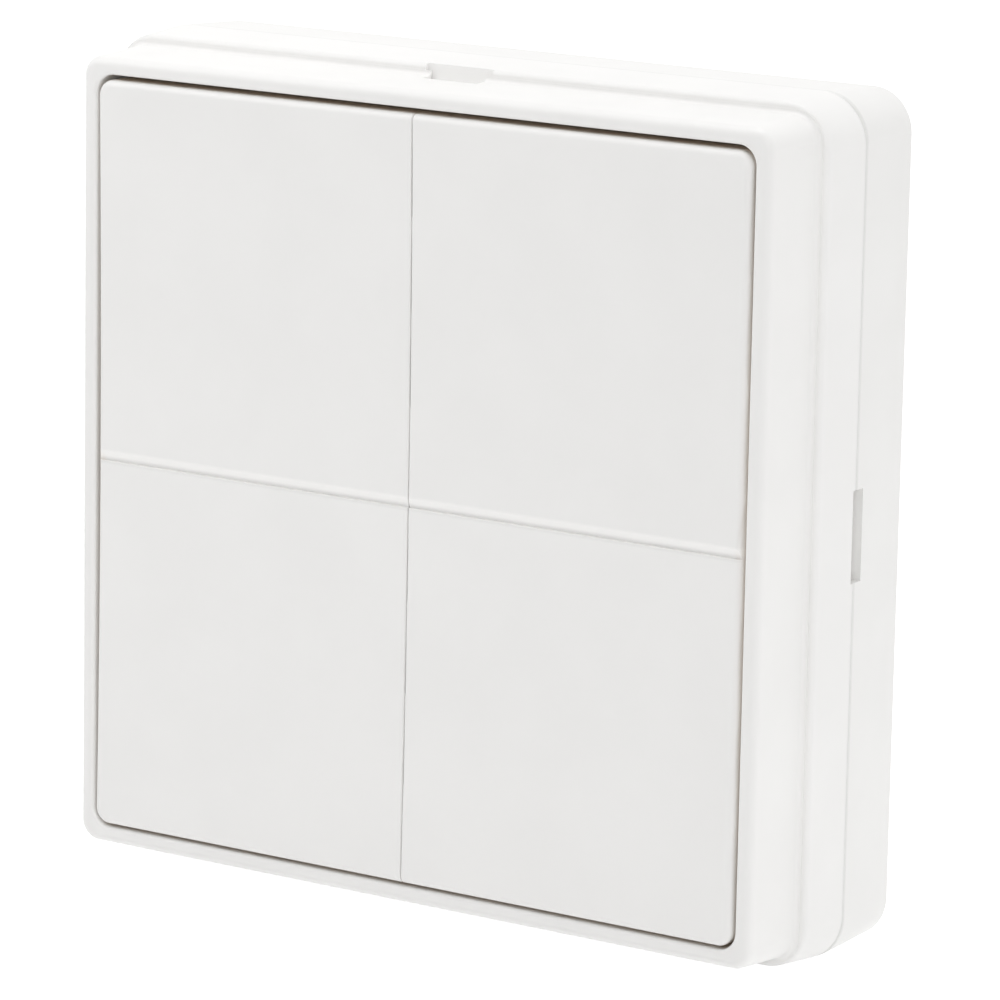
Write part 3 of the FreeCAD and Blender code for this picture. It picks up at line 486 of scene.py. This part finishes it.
@dataclass(frozen=True)
class ShellPlastic(WhitePlastic):
    """The shells' white plastic, with painted shade along the seam between the carrier and the back
    box.

    The walls above and below the rockers, far inside the gap, carry painted shade in a warmer
    colour.
    """

    gap_half: float = 38.35
    gap_soft: float = 0.03
    wall_insets: Pair = (0.6, 0.2)
    gap_shade_ends: Pair = (8.0, 7.0)
    seam: float = -9.2
    seam_span: Pair = (0.5, 0.12)
    seam_shade: float = 0.9

    def marked(self, tree: Tree, body: Paint) -> Paint:
        """Paints shade on the walls far inside the gap, and shade along the seam.

        Args:
            tree: The material's tree.
            body: The colour so far.

        Returns:
            The colour with its marks.
        """
        across, through, up = tree.place()
        wall_start, wall_full = (self.gap_half - inset for inset in self.wall_insets)
        # Painted shade on the gap's upper and lower walls, growing further in.
        inside = abs(across).larger(abs(up)).rise(self.gap_half + self.gap_soft, self.gap_half)
        inside = inside * abs(up).rise(wall_start, wall_full)
        depth = through - self.face
        gap_shade_mask = depth.rise(*self.gap_shade_depths) * depth.rise(*self.gap_shade_ends)
        body = tree.blend(inside * gap_shade_mask, body, self.gap_shade_colour)
        # Painted shade: a darker band along the seam between the carrier and the back box.
        painted_shade = abs(through - self.seam).rise(*self.seam_span)
        return tree.blend(painted_shade, body, scaled(self.colour, self.seam_shade))


@dataclass(frozen=True)
class RockerPlastic(WhitePlastic):
    """The rockers' white plastic, polished a little where fingers press.

    Painted shade lies in the groove at mid height, and a painted highlight on the lip above it. The
    outer walls, far inside the gap, carry painted shade in a warmer colour.
    """

    dull: float = 0.99
    face: float = -23.25
    mottle_size: float = 11.0
    mottle_rough: float = 0.06
    speck_size: float = 0.8
    speck_rough: float = 0.05
    wall_span: Pair = (36.8, 37.5)
    groove_up: float = -0.5
    groove_span: Pair = (0.42, 0.16)
    groove_depth_span: Pair = (1.2, 0.9)
    groove_shade: Colour = (0.86, 0.852, 0.838)
    groove_shade_share: float = 0.75
    lip_above: float = 0.7
    lip_span: Pair = (0.5, 0.15)
    lip_highlight: float = 1.075
    press_across: float = 19.0
    press_up: float = 22.0
    press_reach: float = 13.0
    press_polish: float = 0.05

    def marked(self, tree: Tree, body: Paint) -> Paint:
        """Paints shade in the groove, a highlight on the lip above it and shade on the outer walls.

        Args:
            tree: The material's tree.
            body: The colour so far.

        Returns:
            The colour with its marks.
        """
        across, through, up = tree.place()
        depth = through - self.face
        # Painted shade in the groove at mid height.
        painted_shade = abs(up - self.groove_up).rise(*self.groove_span)
        painted_shade = painted_shade * depth.rise(*self.groove_depth_span)
        body = tree.blend(painted_shade * self.groove_shade_share, body, self.groove_shade)
        # Painted highlight: a lighter band on the lip above the groove.
        painted_highlight = abs(up - self.groove_up - self.lip_above).rise(*self.lip_span)
        body = tree.blend(painted_highlight, body, scaled(self.colour, self.lip_highlight))
        # Painted shade: the outer walls far inside the gap take the warmer colour.
        gap_shade_mask = depth.rise(*self.gap_shade_depths)
        gap_shade_mask = gap_shade_mask * abs(across).larger(abs(up)).rise(*self.wall_span)
        return tree.blend(gap_shade_mask, body, self.gap_shade_colour)

    def handled(self, tree: Tree, rough: Wire) -> Wire:
        """Smooths the places that fingers press, in the middle of each rocker's halves.

        Args:
            tree: The material's tree.
            rough: The roughness so far.

        Returns:
            The roughness with the pressed places smoother.
        """
        across, _, up = tree.place()
        beside = abs(across) - self.press_across
        above = abs(up) - self.press_up
        reached = (above * above + beside * beside) / (self.press_reach * self.press_reach)
        return rough - reached.rise(1.0, 0.0) * self.press_polish


@dataclass(frozen=True)
class PlainPlastic(Finish):
    """A moulded plastic that stays inside: a matt grain, flow marks and rubbed edges."""

    colour: Colour = (0.8, 0.79, 0.76)
    worn: Colour = (0.86, 0.85, 0.83)
    roughness: float = 0.55
    flow_size: float = 4.0
    flow_stretch: Point = (1.0, 1.0, 0.35)
    flow_span: Pair = (0.25, 0.75)
    flow_shade: float = 0.9
    flow_rough: float = 0.15
    edge_turn: float = 0.12
    edge_worn: float = 0.6
    edge_polish: float = 0.12
    grain: float = 0.2
    grain_depth: float = 0.006
    grain_strength: float = 0.7

    def paint(self, tree: Tree) -> None:
        """Fills the material's nodes.

        Args:
            tree: The material's empty tree.
        """
        flow = tree.noise(self.flow_size, detail=4.0, stretch=self.flow_stretch)
        grain = tree.noise(self.grain, detail=3.0)
        edge = tree.edges(full=self.edge_turn)
        shade = scaled(self.colour, self.flow_shade)
        body = tree.blend(flow.rise(*self.flow_span), self.colour, shade)
        body = tree.blend(edge * self.edge_worn, body, self.worn)
        tree.surface(
            {
                "Base Color": body,
                "Roughness": self.roughness + flow.swing(self.flow_rough) - edge * self.edge_polish,
                "IOR": 1.5,
                "Normal": tree.bump(grain, self.grain_depth, self.grain_strength),
            }
        )


@dataclass(frozen=True)
class SolderMask(Finish):
    """A circuit board: mask over copper tracks, with bare laminate on its cut edges."""

    mask: Colour = (0.012, 0.13, 0.05)
    over_copper: Colour = (0.03, 0.24, 0.09)
    cloudy: Colour = (0.02, 0.19, 0.08)
    laminate: Colour = (0.55, 0.5, 0.28)
    face_span: Pair = (0.4, 0.6)
    roughness: float = 0.55
    face_polish: float = 0.25
    cloud_size: float = 6.0
    cloud_share: float = 0.25
    weave_size: float = 0.5
    weave_rough: float = 0.12
    weave_height: float = 0.2
    pitch: float = 1.27
    track: float = 0.34
    track_soft: float = 0.03
    track_height: float = 0.8
    patch: float = 7.0
    patch_steps: Pair = (7.3, 3.7)
    turn_span: Pair = (0.49, 0.51)
    relief: float = 0.03
    relief_strength: float = 0.7

    def tracks(self, tree: Tree) -> Wire:
        """Draws the copper tracks, upright in some patches of the board and level in others.

        Args:
            tree: The material's tree.

        Returns:
            1 on a track, and 0 between tracks.
        """
        across, _, up = tree.place()
        turned = tree.patches(self.patch, self.patch_steps).rise(*self.turn_span)
        outside, inside = self.track / 2 + self.track_soft, self.track / 2 - self.track_soft
        level = (up / self.pitch).off_middle().rise(outside, inside)
        upright = (across / self.pitch).off_middle().rise(outside, inside)
        return level * turned + upright * (1 - turned)

    def paint(self, tree: Tree) -> None:
        """Fills the material's nodes.

        Args:
            tree: The material's empty tree.
        """
        copper = self.tracks(tree)
        weave = tree.noise(self.weave_size)
        cloud = tree.noise(self.cloud_size, detail=3.0)
        _, through, _ = tree.facing()
        face = through.rise(*self.face_span)
        body = tree.blend(copper, self.mask, self.over_copper)
        body = tree.blend(cloud * self.cloud_share, body, self.cloudy)
        rough = self.roughness - face * self.face_polish + weave.swing(self.weave_rough)
        height = copper * self.track_height + weave * self.weave_height
        tree.surface(
            {
                "Base Color": tree.blend(face, self.laminate, body),
                "Roughness": rough,
                "IOR": 1.55,
                "Normal": tree.bump(height, self.relief, self.relief_strength),
            }
        )


@dataclass(frozen=True)
class Metal(Finish):
    """Bare metal: drawn or brushed lines, clouded tarnish and bright rubbed edges."""

    colour: Colour = (0.7, 0.69, 0.66)
    tarnish: Colour = (0.5, 0.49, 0.46)
    roughness: float = 0.3
    cloud_size: float = 2.5
    cloud_span: Pair = (0.45, 0.8)
    cloud_share: float = 0.6
    cloud_rough: float = 0.12
    edge_turns: Pair = (0.01, 0.1)
    edge_share: float = 0.5
    edge_shine: float = 1.1
    lines: Point = (12.0, 1.0, 1.0)
    line_size: float = 1.2
    line_rough: float = 0.2
    line_depth: float = 0.004
    line_strength: float = 0.5

    def paint(self, tree: Tree) -> None:
        """Fills the material's nodes.

        Args:
            tree: The material's empty tree.
        """
        brushed = tree.noise(self.line_size, detail=4.0, stretch=self.lines)
        cloud = tree.noise(self.cloud_size, detail=4.0)
        edge = tree.edges(*self.edge_turns)
        tarnished = cloud.rise(*self.cloud_span) * self.cloud_share
        body = tree.blend(tarnished, self.colour, self.tarnish)
        body = tree.blend(edge * self.edge_share, body, scaled(self.colour, self.edge_shine))
        rough = self.roughness + brushed.swing(self.line_rough) + cloud.swing(self.cloud_rough)
        tree.surface(
            {
                "Base Color": body,
                "Metallic": 1.0,
                "Roughness": rough,
                "Normal": tree.bump(brushed, self.line_depth, self.line_strength),
            }
        )


@dataclass(frozen=True)
class CellSteel(Finish):
    """A coin cell's steel: spun rings about its centre, and the dark seal round its cap."""

    colour: Colour = (0.74, 0.73, 0.71)
    stain: Colour = (0.58, 0.57, 0.54)
    seal: Colour = (0.03, 0.03, 0.035)
    centre_up: float = -12.0
    cap_radius: float = 8.5
    cap_soft: float = 0.03
    seal_ends: Pair = (0.55, 0.5)
    can_front: float = -7.98
    front_ends: Pair = (0.05, 0.01)
    roughness: float = 0.2
    seal_rough: float = 0.3
    rings_per_mm: float = 3.0
    ring_rough: float = 0.05
    ring_height: float = 0.7
    cloud_size: float = 3.0
    cloud_span: Pair = (0.4, 0.8)
    cloud_share: float = 0.35
    scratch_size: float = 1.0
    scratch_stretch: Point = (1.0, 1.0, 14.0)
    scratch_rough: float = 0.12
    scratch_height: float = 0.3
    relief: float = 0.002
    relief_strength: float = 0.6

    def sealed(self, radius: Wire, through: Wire) -> Wire:
        """Finds the seal, a narrow ring round the cap on the can's front.

        Args:
            radius: The distance from the cell's centre line.
            through: The place from back to front.

        Returns:
            1 on the seal, and 0 on the steel.
        """
        outside = (self.cap_radius + end for end in self.seal_ends)
        behind = (self.can_front + end for end in self.front_ends)
        ring = radius.rise(self.cap_radius, self.cap_radius + self.cap_soft) * radius.rise(*outside)
        return ring * through.rise(*behind)

    def paint(self, tree: Tree) -> None:
        """Fills the material's nodes.

        Args:
            tree: The material's empty tree.
        """
        across, through, up = tree.place()
        above = up - self.centre_up
        radius = (across * across + above * above) ** 0.5
        rings = (radius * self.rings_per_mm).off_middle() * 2
        sealed = self.sealed(radius, through)
        cloud = tree.noise(self.cloud_size, detail=4.0)
        scratch = tree.noise(self.scratch_size, detail=4.0, stretch=self.scratch_stretch)
        stained = cloud.rise(*self.cloud_span) * self.cloud_share
        body = tree.blend(stained, self.colour, self.stain)
        rough = self.roughness + rings * self.ring_rough + scratch.swing(self.scratch_rough)
        height = rings * self.ring_height + scratch * self.scratch_height
        tree.surface(
            {
                "Base Color": tree.blend(sealed, body, self.seal),
                "Metallic": 1 - sealed,
                "Roughness": rough + sealed * self.seal_rough,
                "Normal": tree.bump(height, self.relief, self.relief_strength),
            }
        )


@dataclass(frozen=True)
class Ceramic(Finish):
    """The bodies of small soldered parts: black resistors and tan capacitors."""

    dark: Colour = (0.02, 0.02, 0.022)
    tan: Colour = (0.42, 0.27, 0.14)
    painted_shade: Colour = (0.25, 0.2, 0.16)
    patch: float = 2.2
    patch_steps: Pair = (0.37, 0.61)
    tan_span: Pair = (0.45, 0.5)
    roughness: float = 0.45
    speck_size: float = 0.12
    speck_share: float = 0.3
    speck_rough: float = 0.3
    relief: float = 0.004
    relief_strength: float = 0.6

    def paint(self, tree: Tree) -> None:
        """Fills the material's nodes.

        Args:
            tree: The material's empty tree.
        """
        is_tan = tree.patches(self.patch, self.patch_steps).rise(*self.tan_span)
        speck = tree.noise(self.speck_size, detail=3.0)
        body = tree.blend(is_tan, self.dark, self.tan)
        tree.surface(
            {
                "Base Color": tree.blend(speck * self.speck_share, body, self.painted_shade),
                "Roughness": self.roughness + speck.swing(self.speck_rough),
                "Normal": tree.bump(speck, self.relief, self.relief_strength),
            }
        )


WHITE_FRAME = ShellPlastic("white_frame")
WHITE_BAND = ShellPlastic("white_band", colour=(0.922, 0.915, 0.903))
# The back box is a little darker than the frame: painted shade, for the weaker light on the box.
WHITE_BOX = ShellPlastic("white_box", colour=(0.9, 0.894, 0.88), grain=0.2, grain_depth=0.005)
# The rockers' gap walls get a browner painted shade.
WHITE_ROCKER = RockerPlastic("white_rocker", gap_shade_colour=(0.76, 0.65, 0.54), roughness=0.42)
COVER_PLASTIC = PlainPlastic("cover_plastic")
PLUNGER_PLASTIC = PlainPlastic("plunger_plastic", colour=(0.76, 0.75, 0.71), roughness=0.35)
BLACK_PLASTIC = PlainPlastic(
    "black_plastic", colour=(0.025, 0.025, 0.027), worn=(0.09, 0.09, 0.092)
)
CHIP_PLASTIC = PlainPlastic(
    "chip_plastic", colour=(0.02, 0.02, 0.021), worn=(0.06, 0.06, 0.06), roughness=0.62
)
JACKET = PlainPlastic(
    "red_jacket", colour=(0.5, 0.035, 0.02), worn=(0.62, 0.08, 0.05), roughness=0.3
)
BOARD_MASK = SolderMask("green_mask")
MODULE_MASK = SolderMask(
    "blue_mask",
    mask=(0.012, 0.05, 0.16),
    over_copper=(0.03, 0.1, 0.27),
    pitch=0.8,
    patch=4.0,
)
TINNED = Metal("tinned_sheet")
SHIELD_TIN = Metal(
    "shield_tin", colour=(0.66, 0.66, 0.64), lines=(1.0, 1.0, 10.0), roughness=0.34
)
SOLDER = Metal(
    "solder",
    colour=(0.62, 0.62, 0.63),
    tarnish=(0.42, 0.42, 0.43),
    lines=(1.0, 1.0, 1.0),
    roughness=0.22,
)
ZINC = Metal("zinc_screw", colour=(0.63, 0.64, 0.66), lines=(1.0, 1.0, 6.0), line_size=0.6)
ALUMINIUM = Metal(
    "aluminium_can",
    colour=(0.78, 0.78, 0.79),
    tarnish=(0.62, 0.62, 0.63),
    lines=(1.0, 8.0, 1.0),
)
CELL = CellSteel("cell_steel")
CERAMIC = Ceramic("ceramic_parts")


def dress(node: str, finish: Finish) -> None:
    """Gives a CAD node its finish.

    Args:
        node: The node's name.
        finish: The finish that it gets.
    """
    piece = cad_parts[node]
    for slot in piece.material_slots:
        slot.material = finish.material()
    LOG.info("node %s has finish %s", node, finish.name)


def add_piece(
    name: str, shape: bmesh.types.BMesh, body: str, finish: Finish
) -> None:
    """Makes a piece from a finished shape and lets it ride on a CAD body.

    Args:
        name: The piece's name.
        shape: Its shape in metres, in the part's frame. It is freed here.
        body: The CAD body that carries it.
        finish: The finish that it gets.
    """
    bmesh.ops.remove_doubles(shape, verts=shape.verts, dist=SAME_POINT)
    bmesh.ops.recalc_face_normals(shape, faces=shape.faces)
    shape.verts.sort(key=lambda corner: corner.co.dot(NUMBERING))
    shape.faces.sort(key=lambda face: face.calc_center_median().dot(NUMBERING))
    mesh = bpy.data.meshes.new(name)
    shape.to_mesh(mesh)
    shape.free()
    piece = bpy.data.objects.new(name, mesh)
    bpy.context.scene.collection.objects.link(piece)
    mesh.materials.append(finish.material())
    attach(piece, body)
    LOG.info("piece %s, %d faces", name, len(mesh.polygons))


def add_block(shape: bmesh.types.BMesh, centre: Vector, size: Vector, edge: float) -> None:
    """Adds a block with bevelled edges to a shape.

    Args:
        shape: The shape that it is added to.
        centre: The block's centre in metres.
        size: Its size along each axis in metres.
        edge: The bevel's width in metres.
    """
    place = Matrix.Translation(centre) @ Matrix.Diagonal((*size, 1.0))
    made = bmesh.ops.create_cube(shape, size=1.0, matrix=place)
    lines = list({line for corner in made["verts"] for line in corner.link_edges})
    bmesh.ops.bevel(
        shape, geom=lines, offset=edge, affect="EDGES", segments=2, profile=0.5, material=-1
    )


@dataclass
class Lead:
    """One soldered leg, bent down from a package's side to the board. Sizes in millimetres.

    Each of its two bends takes a share of the drop.
    """

    out: float
    drop: float
    foot: float
    width: float
    sheet: float
    bend_share: float = 0.25

    def add(self, shape: bmesh.types.BMesh, root: Vector, outward: Vector, along: Vector) -> None:
        """Adds the leg to a shape.

        Args:
            shape: The shape that it is added to.
            root: Where it leaves the package, in metres.
            outward: The direction away from the package.
            along: The direction across the leg's width.
        """
        into_board = Vector((0.0, 1.0, 0.0))
        turn = self.drop * self.bend_share
        path = (
            (0.0, 0.0),
            (self.out - turn, 0.0),
            (self.out, turn),
            (self.out + turn, self.drop - turn),
            (self.out + 2 * turn, self.drop),
            (self.out + 2 * turn + self.foot, self.drop),
        )
        half = along * self.width * MM / 2
        verts = [
            shape.verts.new(root + outward * away * MM + into_board * down * MM - half)
            for away, down in path
        ]
        line = [shape.edges.new(pair) for pair in zip(verts, verts[1:])]
        made = bmesh.ops.extrude_edge_only(shape, edges=line)["geom"]
        moved = [part for part in made if isinstance(part, bmesh.types.BMVert)]
        bmesh.ops.translate(shape, verts=moved, vec=half * 2)
        faces = [part for part in made if isinstance(part, bmesh.types.BMFace)]
        bmesh.ops.recalc_face_normals(shape, faces=faces)
        up = sum((face.normal * face.calc_area() for face in faces), Vector())
        if up.dot(into_board) > 0:
            bmesh.ops.reverse_faces(shape, faces=faces)
        bmesh.ops.solidify(shape, geom=faces, thickness=self.sheet * MM)


@dataclass
class Assembly:
    """A sub-assembly: the CAD nodes that it holds, each with its finish."""

    finishes: dict[str, Finish]

    def build(self) -> None:
        """Dresses the nodes."""
        for node, finish in self.finishes.items():
            dress(node, finish)


@dataclass
class Shells(Assembly):
    """The three white shells, from the wall to the front, and the cover with its screws."""

    finishes: dict[str, Finish] = field(
        default_factory=lambda: {
            "back_box": WHITE_BOX,
            "carrier_frame": WHITE_BAND,
            "front_frame": WHITE_FRAME,
            "rear_cover": COVER_PLASTIC,
            "cover_screws": ZINC,
        }
    )


@dataclass
class Rockers(Assembly):
    """The two rockers, side by side."""

    finishes: dict[str, Finish] = field(
        default_factory=lambda: {f"rocker_{side.name.lower()}": WHITE_ROCKER for side in Side}
    )


@dataclass
class PushSwitches:
    """The four push switches behind the rockers, with four soldered legs each."""

    leg: Lead = field(
        default_factory=lambda: Lead(out=0.25, drop=0.85, foot=0.7, width=0.7, sheet=0.15)
    )
    leg_spread: float = 4.5

    def legs(self, place: str) -> None:
        """Makes one switch's legs.

        Args:
            place: Which switch, such as upper_left.
        """
        low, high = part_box(f"switch_body_{place}")
        shape = bmesh.new()
        height = high.y - (self.leg.drop + self.leg.sheet) * MM
        for side in Side:
            edge = high.x if side is Side.RIGHT else low.x
            for end in End:
                up = (low.z + high.z) / 2 + end.value * self.leg_spread * MM / 2
                root = Vector((edge, height, up))
                self.leg.add(shape, root, Vector((side.value, 0, 0)), Vector((0, 0, 1)))
        add_piece(f"switch_legs_{place}", shape, HOUSING, TINNED)

    def build(self) -> None:
        """Dresses the four switches and adds their legs."""
        for end in End:
            for side in Side:
                place = f"{end.name}_{side.name}".lower()
                dress(f"switch_body_{place}", BLACK_PLASTIC)
                dress(f"switch_plunger_{place}", PLUNGER_PLASTIC)
                self.legs(place)


@dataclass
class Electronics(Assembly):
    """The circuit board and what is soldered to its front.

    A small part's size is its length, thickness and width, and its place is across and up.
    """

    finishes: dict[str, Finish] = field(
        default_factory=lambda: {
            "circuit_board": BOARD_MASK,
            "radio_board": MODULE_MASK,
            "radio_shield": SHIELD_TIN,
            "antenna_wire": JACKET,
            "storage_capacitor": ALUMINIUM,
            "microcontroller": CHIP_PLASTIC,
            "crystal_can": SHIELD_TIN,
        }
    )
    chip_lead: Lead = field(
        default_factory=lambda: Lead(out=0.2, drop=0.42, foot=0.4, width=0.3, sheet=0.1)
    )
    chip_sides: int = 4
    leads_a_side: int = 8
    lead_pitch: float = 0.8
    part_size: Point = (1.6, 0.5, 0.8)
    body_inset: float = 0.1
    body_edge: float = 0.03
    cap_length: float = 0.3
    cap_edge: float = 0.05
    upright_parts: tuple[Pair, ...] = (
        (-12.6, 3.2),
        (-12.6, 0.6),
        (-12.6, -2.4),
        (1.6, 5.6),
        (3.4, 5.6),
        (1.6, -6.4),
        (3.4, -6.4),
    )
    level_parts: tuple[Pair, ...] = (
        (-8.6, 7.0),
        (-5.8, 7.0),
        (-3.0, 7.0),
        (-6.0, -12.2),
        (-8.8, -12.2),
        (16.6, 4.6),
        (16.6, 2.6),
        (16.6, -2.6),
    )

    def chip_leads(self) -> None:
        """Makes the microcontroller's leads: one side's row, turned to all four sides."""
        low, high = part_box("microcontroller")
        centre = (low + high) / 2
        shape = bmesh.new()
        height = high.y - (self.chip_lead.drop + self.chip_lead.sheet) * MM
        for place in range(self.leads_a_side):
            shift = (place - (self.leads_a_side - 1) / 2) * self.lead_pitch * MM
            root = Vector((high.x, height, centre.z + shift))
            self.chip_lead.add(shape, root, Vector((1, 0, 0)), Vector((0, 0, 1)))
        bmesh.ops.spin(
            shape,
            geom=shape.verts[:] + shape.edges[:] + shape.faces[:],
            cent=centre,
            axis=Vector((0, 1, 0)),
            angle=math.tau * (self.chip_sides - 1) / self.chip_sides,
            steps=self.chip_sides - 1,
            use_duplicate=True,
        )
        add_piece("microcontroller_leads", shape, HOUSING, TINNED)

    def small_parts(self) -> None:
        """Makes the small resistors and capacitors, and their soldered end caps."""
        low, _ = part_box("circuit_board")
        length, thickness, width = (value * MM for value in self.part_size)
        cap_length = self.cap_length * MM
        thinner = Vector((0, thickness * self.body_inset, 0))
        bodies = bmesh.new()
        caps = bmesh.new()
        for places, run, size in (
            (self.upright_parts, Vector((0, 0, 1)), Vector((width, thickness, length))),
            (self.level_parts, Vector((1, 0, 0)), Vector((length, thickness, width))),
        ):
            for across, up in places:
                centre = Vector((across * MM, low.y - thickness / 2, up * MM))
                body_size = size - run * cap_length * 2 - thinner
                add_block(bodies, centre, body_size, self.body_edge * MM)
                cap_size = size - run * (length - cap_length)
                for end in End:
                    offset = run * end.value * (length - cap_length) / 2
                    add_block(caps, centre + offset, cap_size, self.cap_edge * MM)
        add_piece("small_part_bodies", bodies, HOUSING, CERAMIC)
        add_piece("small_part_caps", caps, HOUSING, SOLDER)

    def build(self) -> None:
        """Dresses the board's parts and adds the leads and small parts."""
        super().build()
        self.chip_leads()
        self.small_parts()


@dataclass
class Battery(Assembly):
    """The coin cell, its holder and the two contacts, on the board's back."""

    finishes: dict[str, Finish] = field(
        default_factory=lambda: {
            "coin_cell": CELL,
            "cell_holder": BLACK_PLASTIC,
            "contact_positive": TINNED,
            "contact_negative": TINNED,
        }
    )


@dataclass
class Lamp:
    """One soft square lamp. Its place is in metres from the switch's centre, which it faces."""

    name: str
    place: Point
    size: float
    power: float

    def build(self, aim: Vector) -> None:
        """Makes the lamp.

        Args:
            aim: The point that it faces.
        """
        data = bpy.data.lights.new(self.name, "AREA")
        data.shape = "SQUARE"
        data.size = self.size
        data.energy = self.power
        lamp = bpy.data.objects.new(self.name, data)
        bpy.context.scene.collection.objects.link(lamp)
        lamp.location = aim + Vector(self.place)
        lamp.rotation_euler = (-Vector(self.place)).to_track_quat("-Z", "Y").to_euler()
        LOG.info("lamp %s", self.name)


@dataclass
class Studio:
    """The plain white room: floor, soft light all round, and the camera.

    The floor's width and the clip distances are in metres, the roll is in degrees, and the other
    sizes are in millimetres.
    """

    floor_width: float = 4.0
    floor_gap: float = 0.05
    floor_colour: Colour = (0.7, 0.7, 0.7)
    cloud_size: float = 40.0
    cloud_share: float = 0.3
    cloud_shade: float = 0.97
    floor_light: float = 0.2
    near_light: float = 0.06
    near_span: Pair = (220.0, 60.0)
    seen_light: float = 0.5
    sky_level: float = 0.68
    front_dip: float = 1.0
    right_rise: float = 0.5
    camera_place: Point = (312.679, -469.733, 112.396)
    camera_aim: Point = (10.814, -23.0, 1.682)
    camera_roll: float = 1.071
    camera_lens: float = 207.65
    camera_sensor: float = 36.0
    camera_clip: Pair = (0.01, 20.0)
    lamps: tuple[Lamp, ...] = (
        Lamp("top_lamp", place=(-0.08, -0.12, 0.64), size=0.5, power=1.7),
        Lamp("left_lamp", place=(-0.28, -0.22, 0.22), size=0.25, power=0.34),
        Lamp("front_lamp", place=(0.36, -0.66, 0.16), size=0.16, power=0.85),
    )

    def seen_directly(self, tree: Tree) -> Wire:
        """Tells what the camera sees from what only lights the switch.

        Args:
            tree: The tree that the nodes go to.

        Returns:
            1 for what is seen straight, mirrored or through glass, and 0 for the rest.
        """
        path = tree.node("ShaderNodeLightPath", {}, {})
        camera, glossy, through = (
            Wire(tree, path.outputs[name])
            for name in ("Is Camera Ray", "Is Glossy Ray", "Is Transmission Ray")
        )
        return camera.larger(glossy).larger(through)

    def sky(self) -> None:
        """Makes the sky, whose light is weaker in front and stronger at the right.

        Where the camera sees it, it is plain white.
        """
        world = bpy.data.worlds.new("studio_sky")
        bpy.context.scene.world = world
        tree = Tree(world)
        where = tree.node("ShaderNodeTexCoord", {}, {})
        across, through, _ = tree.parts(where.outputs["Generated"])
        level = self.sky_level - (0 - through).larger(0) * self.front_dip
        level = level.larger(0) + across.larger(0) * self.right_rise
        level = level + self.seen_directly(tree) * (1 - level)
        sky = tree.node("ShaderNodeBackground", {}, {"Color": WHITE, "Strength": level})
        tree.node("ShaderNodeOutputWorld", {}, {"Surface": sky.outputs[0]})

    def floor(self) -> None:
        """Makes the pale floor under the switch, white to the eye outside the soft shadow."""
        low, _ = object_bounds()
        shape = bmesh.new()
        centre = Vector((0.0, 0.0, low.z - self.floor_gap * MM))
        bmesh.ops.create_grid(
            shape,
            x_segments=1,
            y_segments=1,
            size=self.floor_width / 2,
            matrix=Matrix.Translation(centre),
        )
        mesh = bpy.data.meshes.new("studio_floor")
        shape.to_mesh(mesh)
        shape.free()
        floor = bpy.data.objects.new("studio_floor", mesh)
        bpy.context.scene.collection.objects.link(floor)
        material = bpy.data.materials.new("pale_floor")
        tree = Tree(material)
        cloud = tree.noise(self.cloud_size, detail=3.0) * self.cloud_share
        paint = tree.blend(cloud, self.floor_colour, scaled(self.floor_colour, self.cloud_shade))
        matt = tree.node("ShaderNodeBsdfDiffuse", {}, {"Color": paint})
        across, through, _ = tree.place()
        near = ((across * across + through * through) ** 0.5).rise(*self.near_span)
        light = self.floor_light + near * self.near_light
        light = light + self.seen_directly(tree) * self.seen_light
        glow = tree.node("ShaderNodeEmission", {}, {"Color": WHITE, "Strength": light})
        both = tree.node("ShaderNodeAddShader", {}, {0: matt.outputs[0], 1: glow.outputs[0]})
        tree.node("ShaderNodeOutputMaterial", {}, {"Surface": both.outputs[0]})
        mesh.materials.append(material)
        floor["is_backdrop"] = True
        LOG.info("floor at %.5f m", centre.z)

    def camera(self) -> None:
        """Makes the camera at the photograph's place, with its roll."""
        data = bpy.data.cameras.new("camera")
        data.lens = self.camera_lens
        data.sensor_width = self.camera_sensor
        data.clip_start, data.clip_end = self.camera_clip
        camera = bpy.data.objects.new("camera", data)
        bpy.context.scene.collection.objects.link(camera)
        place = Vector(self.camera_place) * MM
        forward = (Vector(self.camera_aim) * MM - place).normalized()
        right = forward.cross(Vector((0, 0, 1))).normalized()
        above = right.cross(forward)
        roll = math.radians(self.camera_roll)
        side = right * math.cos(roll) + above * math.sin(roll)
        top = above * math.cos(roll) - right * math.sin(roll)
        turned = Matrix((side, top, -forward)).transposed().to_4x4()
        camera.matrix_world = Matrix.Translation(place) @ turned
        bpy.context.scene.camera = camera
        LOG.info("camera at %s", tuple(round(value, 4) for value in place))

    def build(self) -> None:
        """Makes the room and sets how colours are shown."""
        bpy.context.scene.view_settings.view_transform = "Standard"
        low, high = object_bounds()
        self.camera()
        self.sky()
        self.floor()
        for lamp in self.lamps:
            lamp.build((low + high) / 2)


def main() -> None:
    """Builds the room and every sub-assembly."""
    logging.basicConfig(level=logging.INFO, format="%(name)s: %(message)s")
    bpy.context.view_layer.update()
    for assembly in (Studio(), Shells(), Rockers(), PushSwitches(), Electronics(), Battery()):
        LOG.info("building %s", type(assembly).__name__)
        assembly.build()


if __name__ == "__main__":
    main()
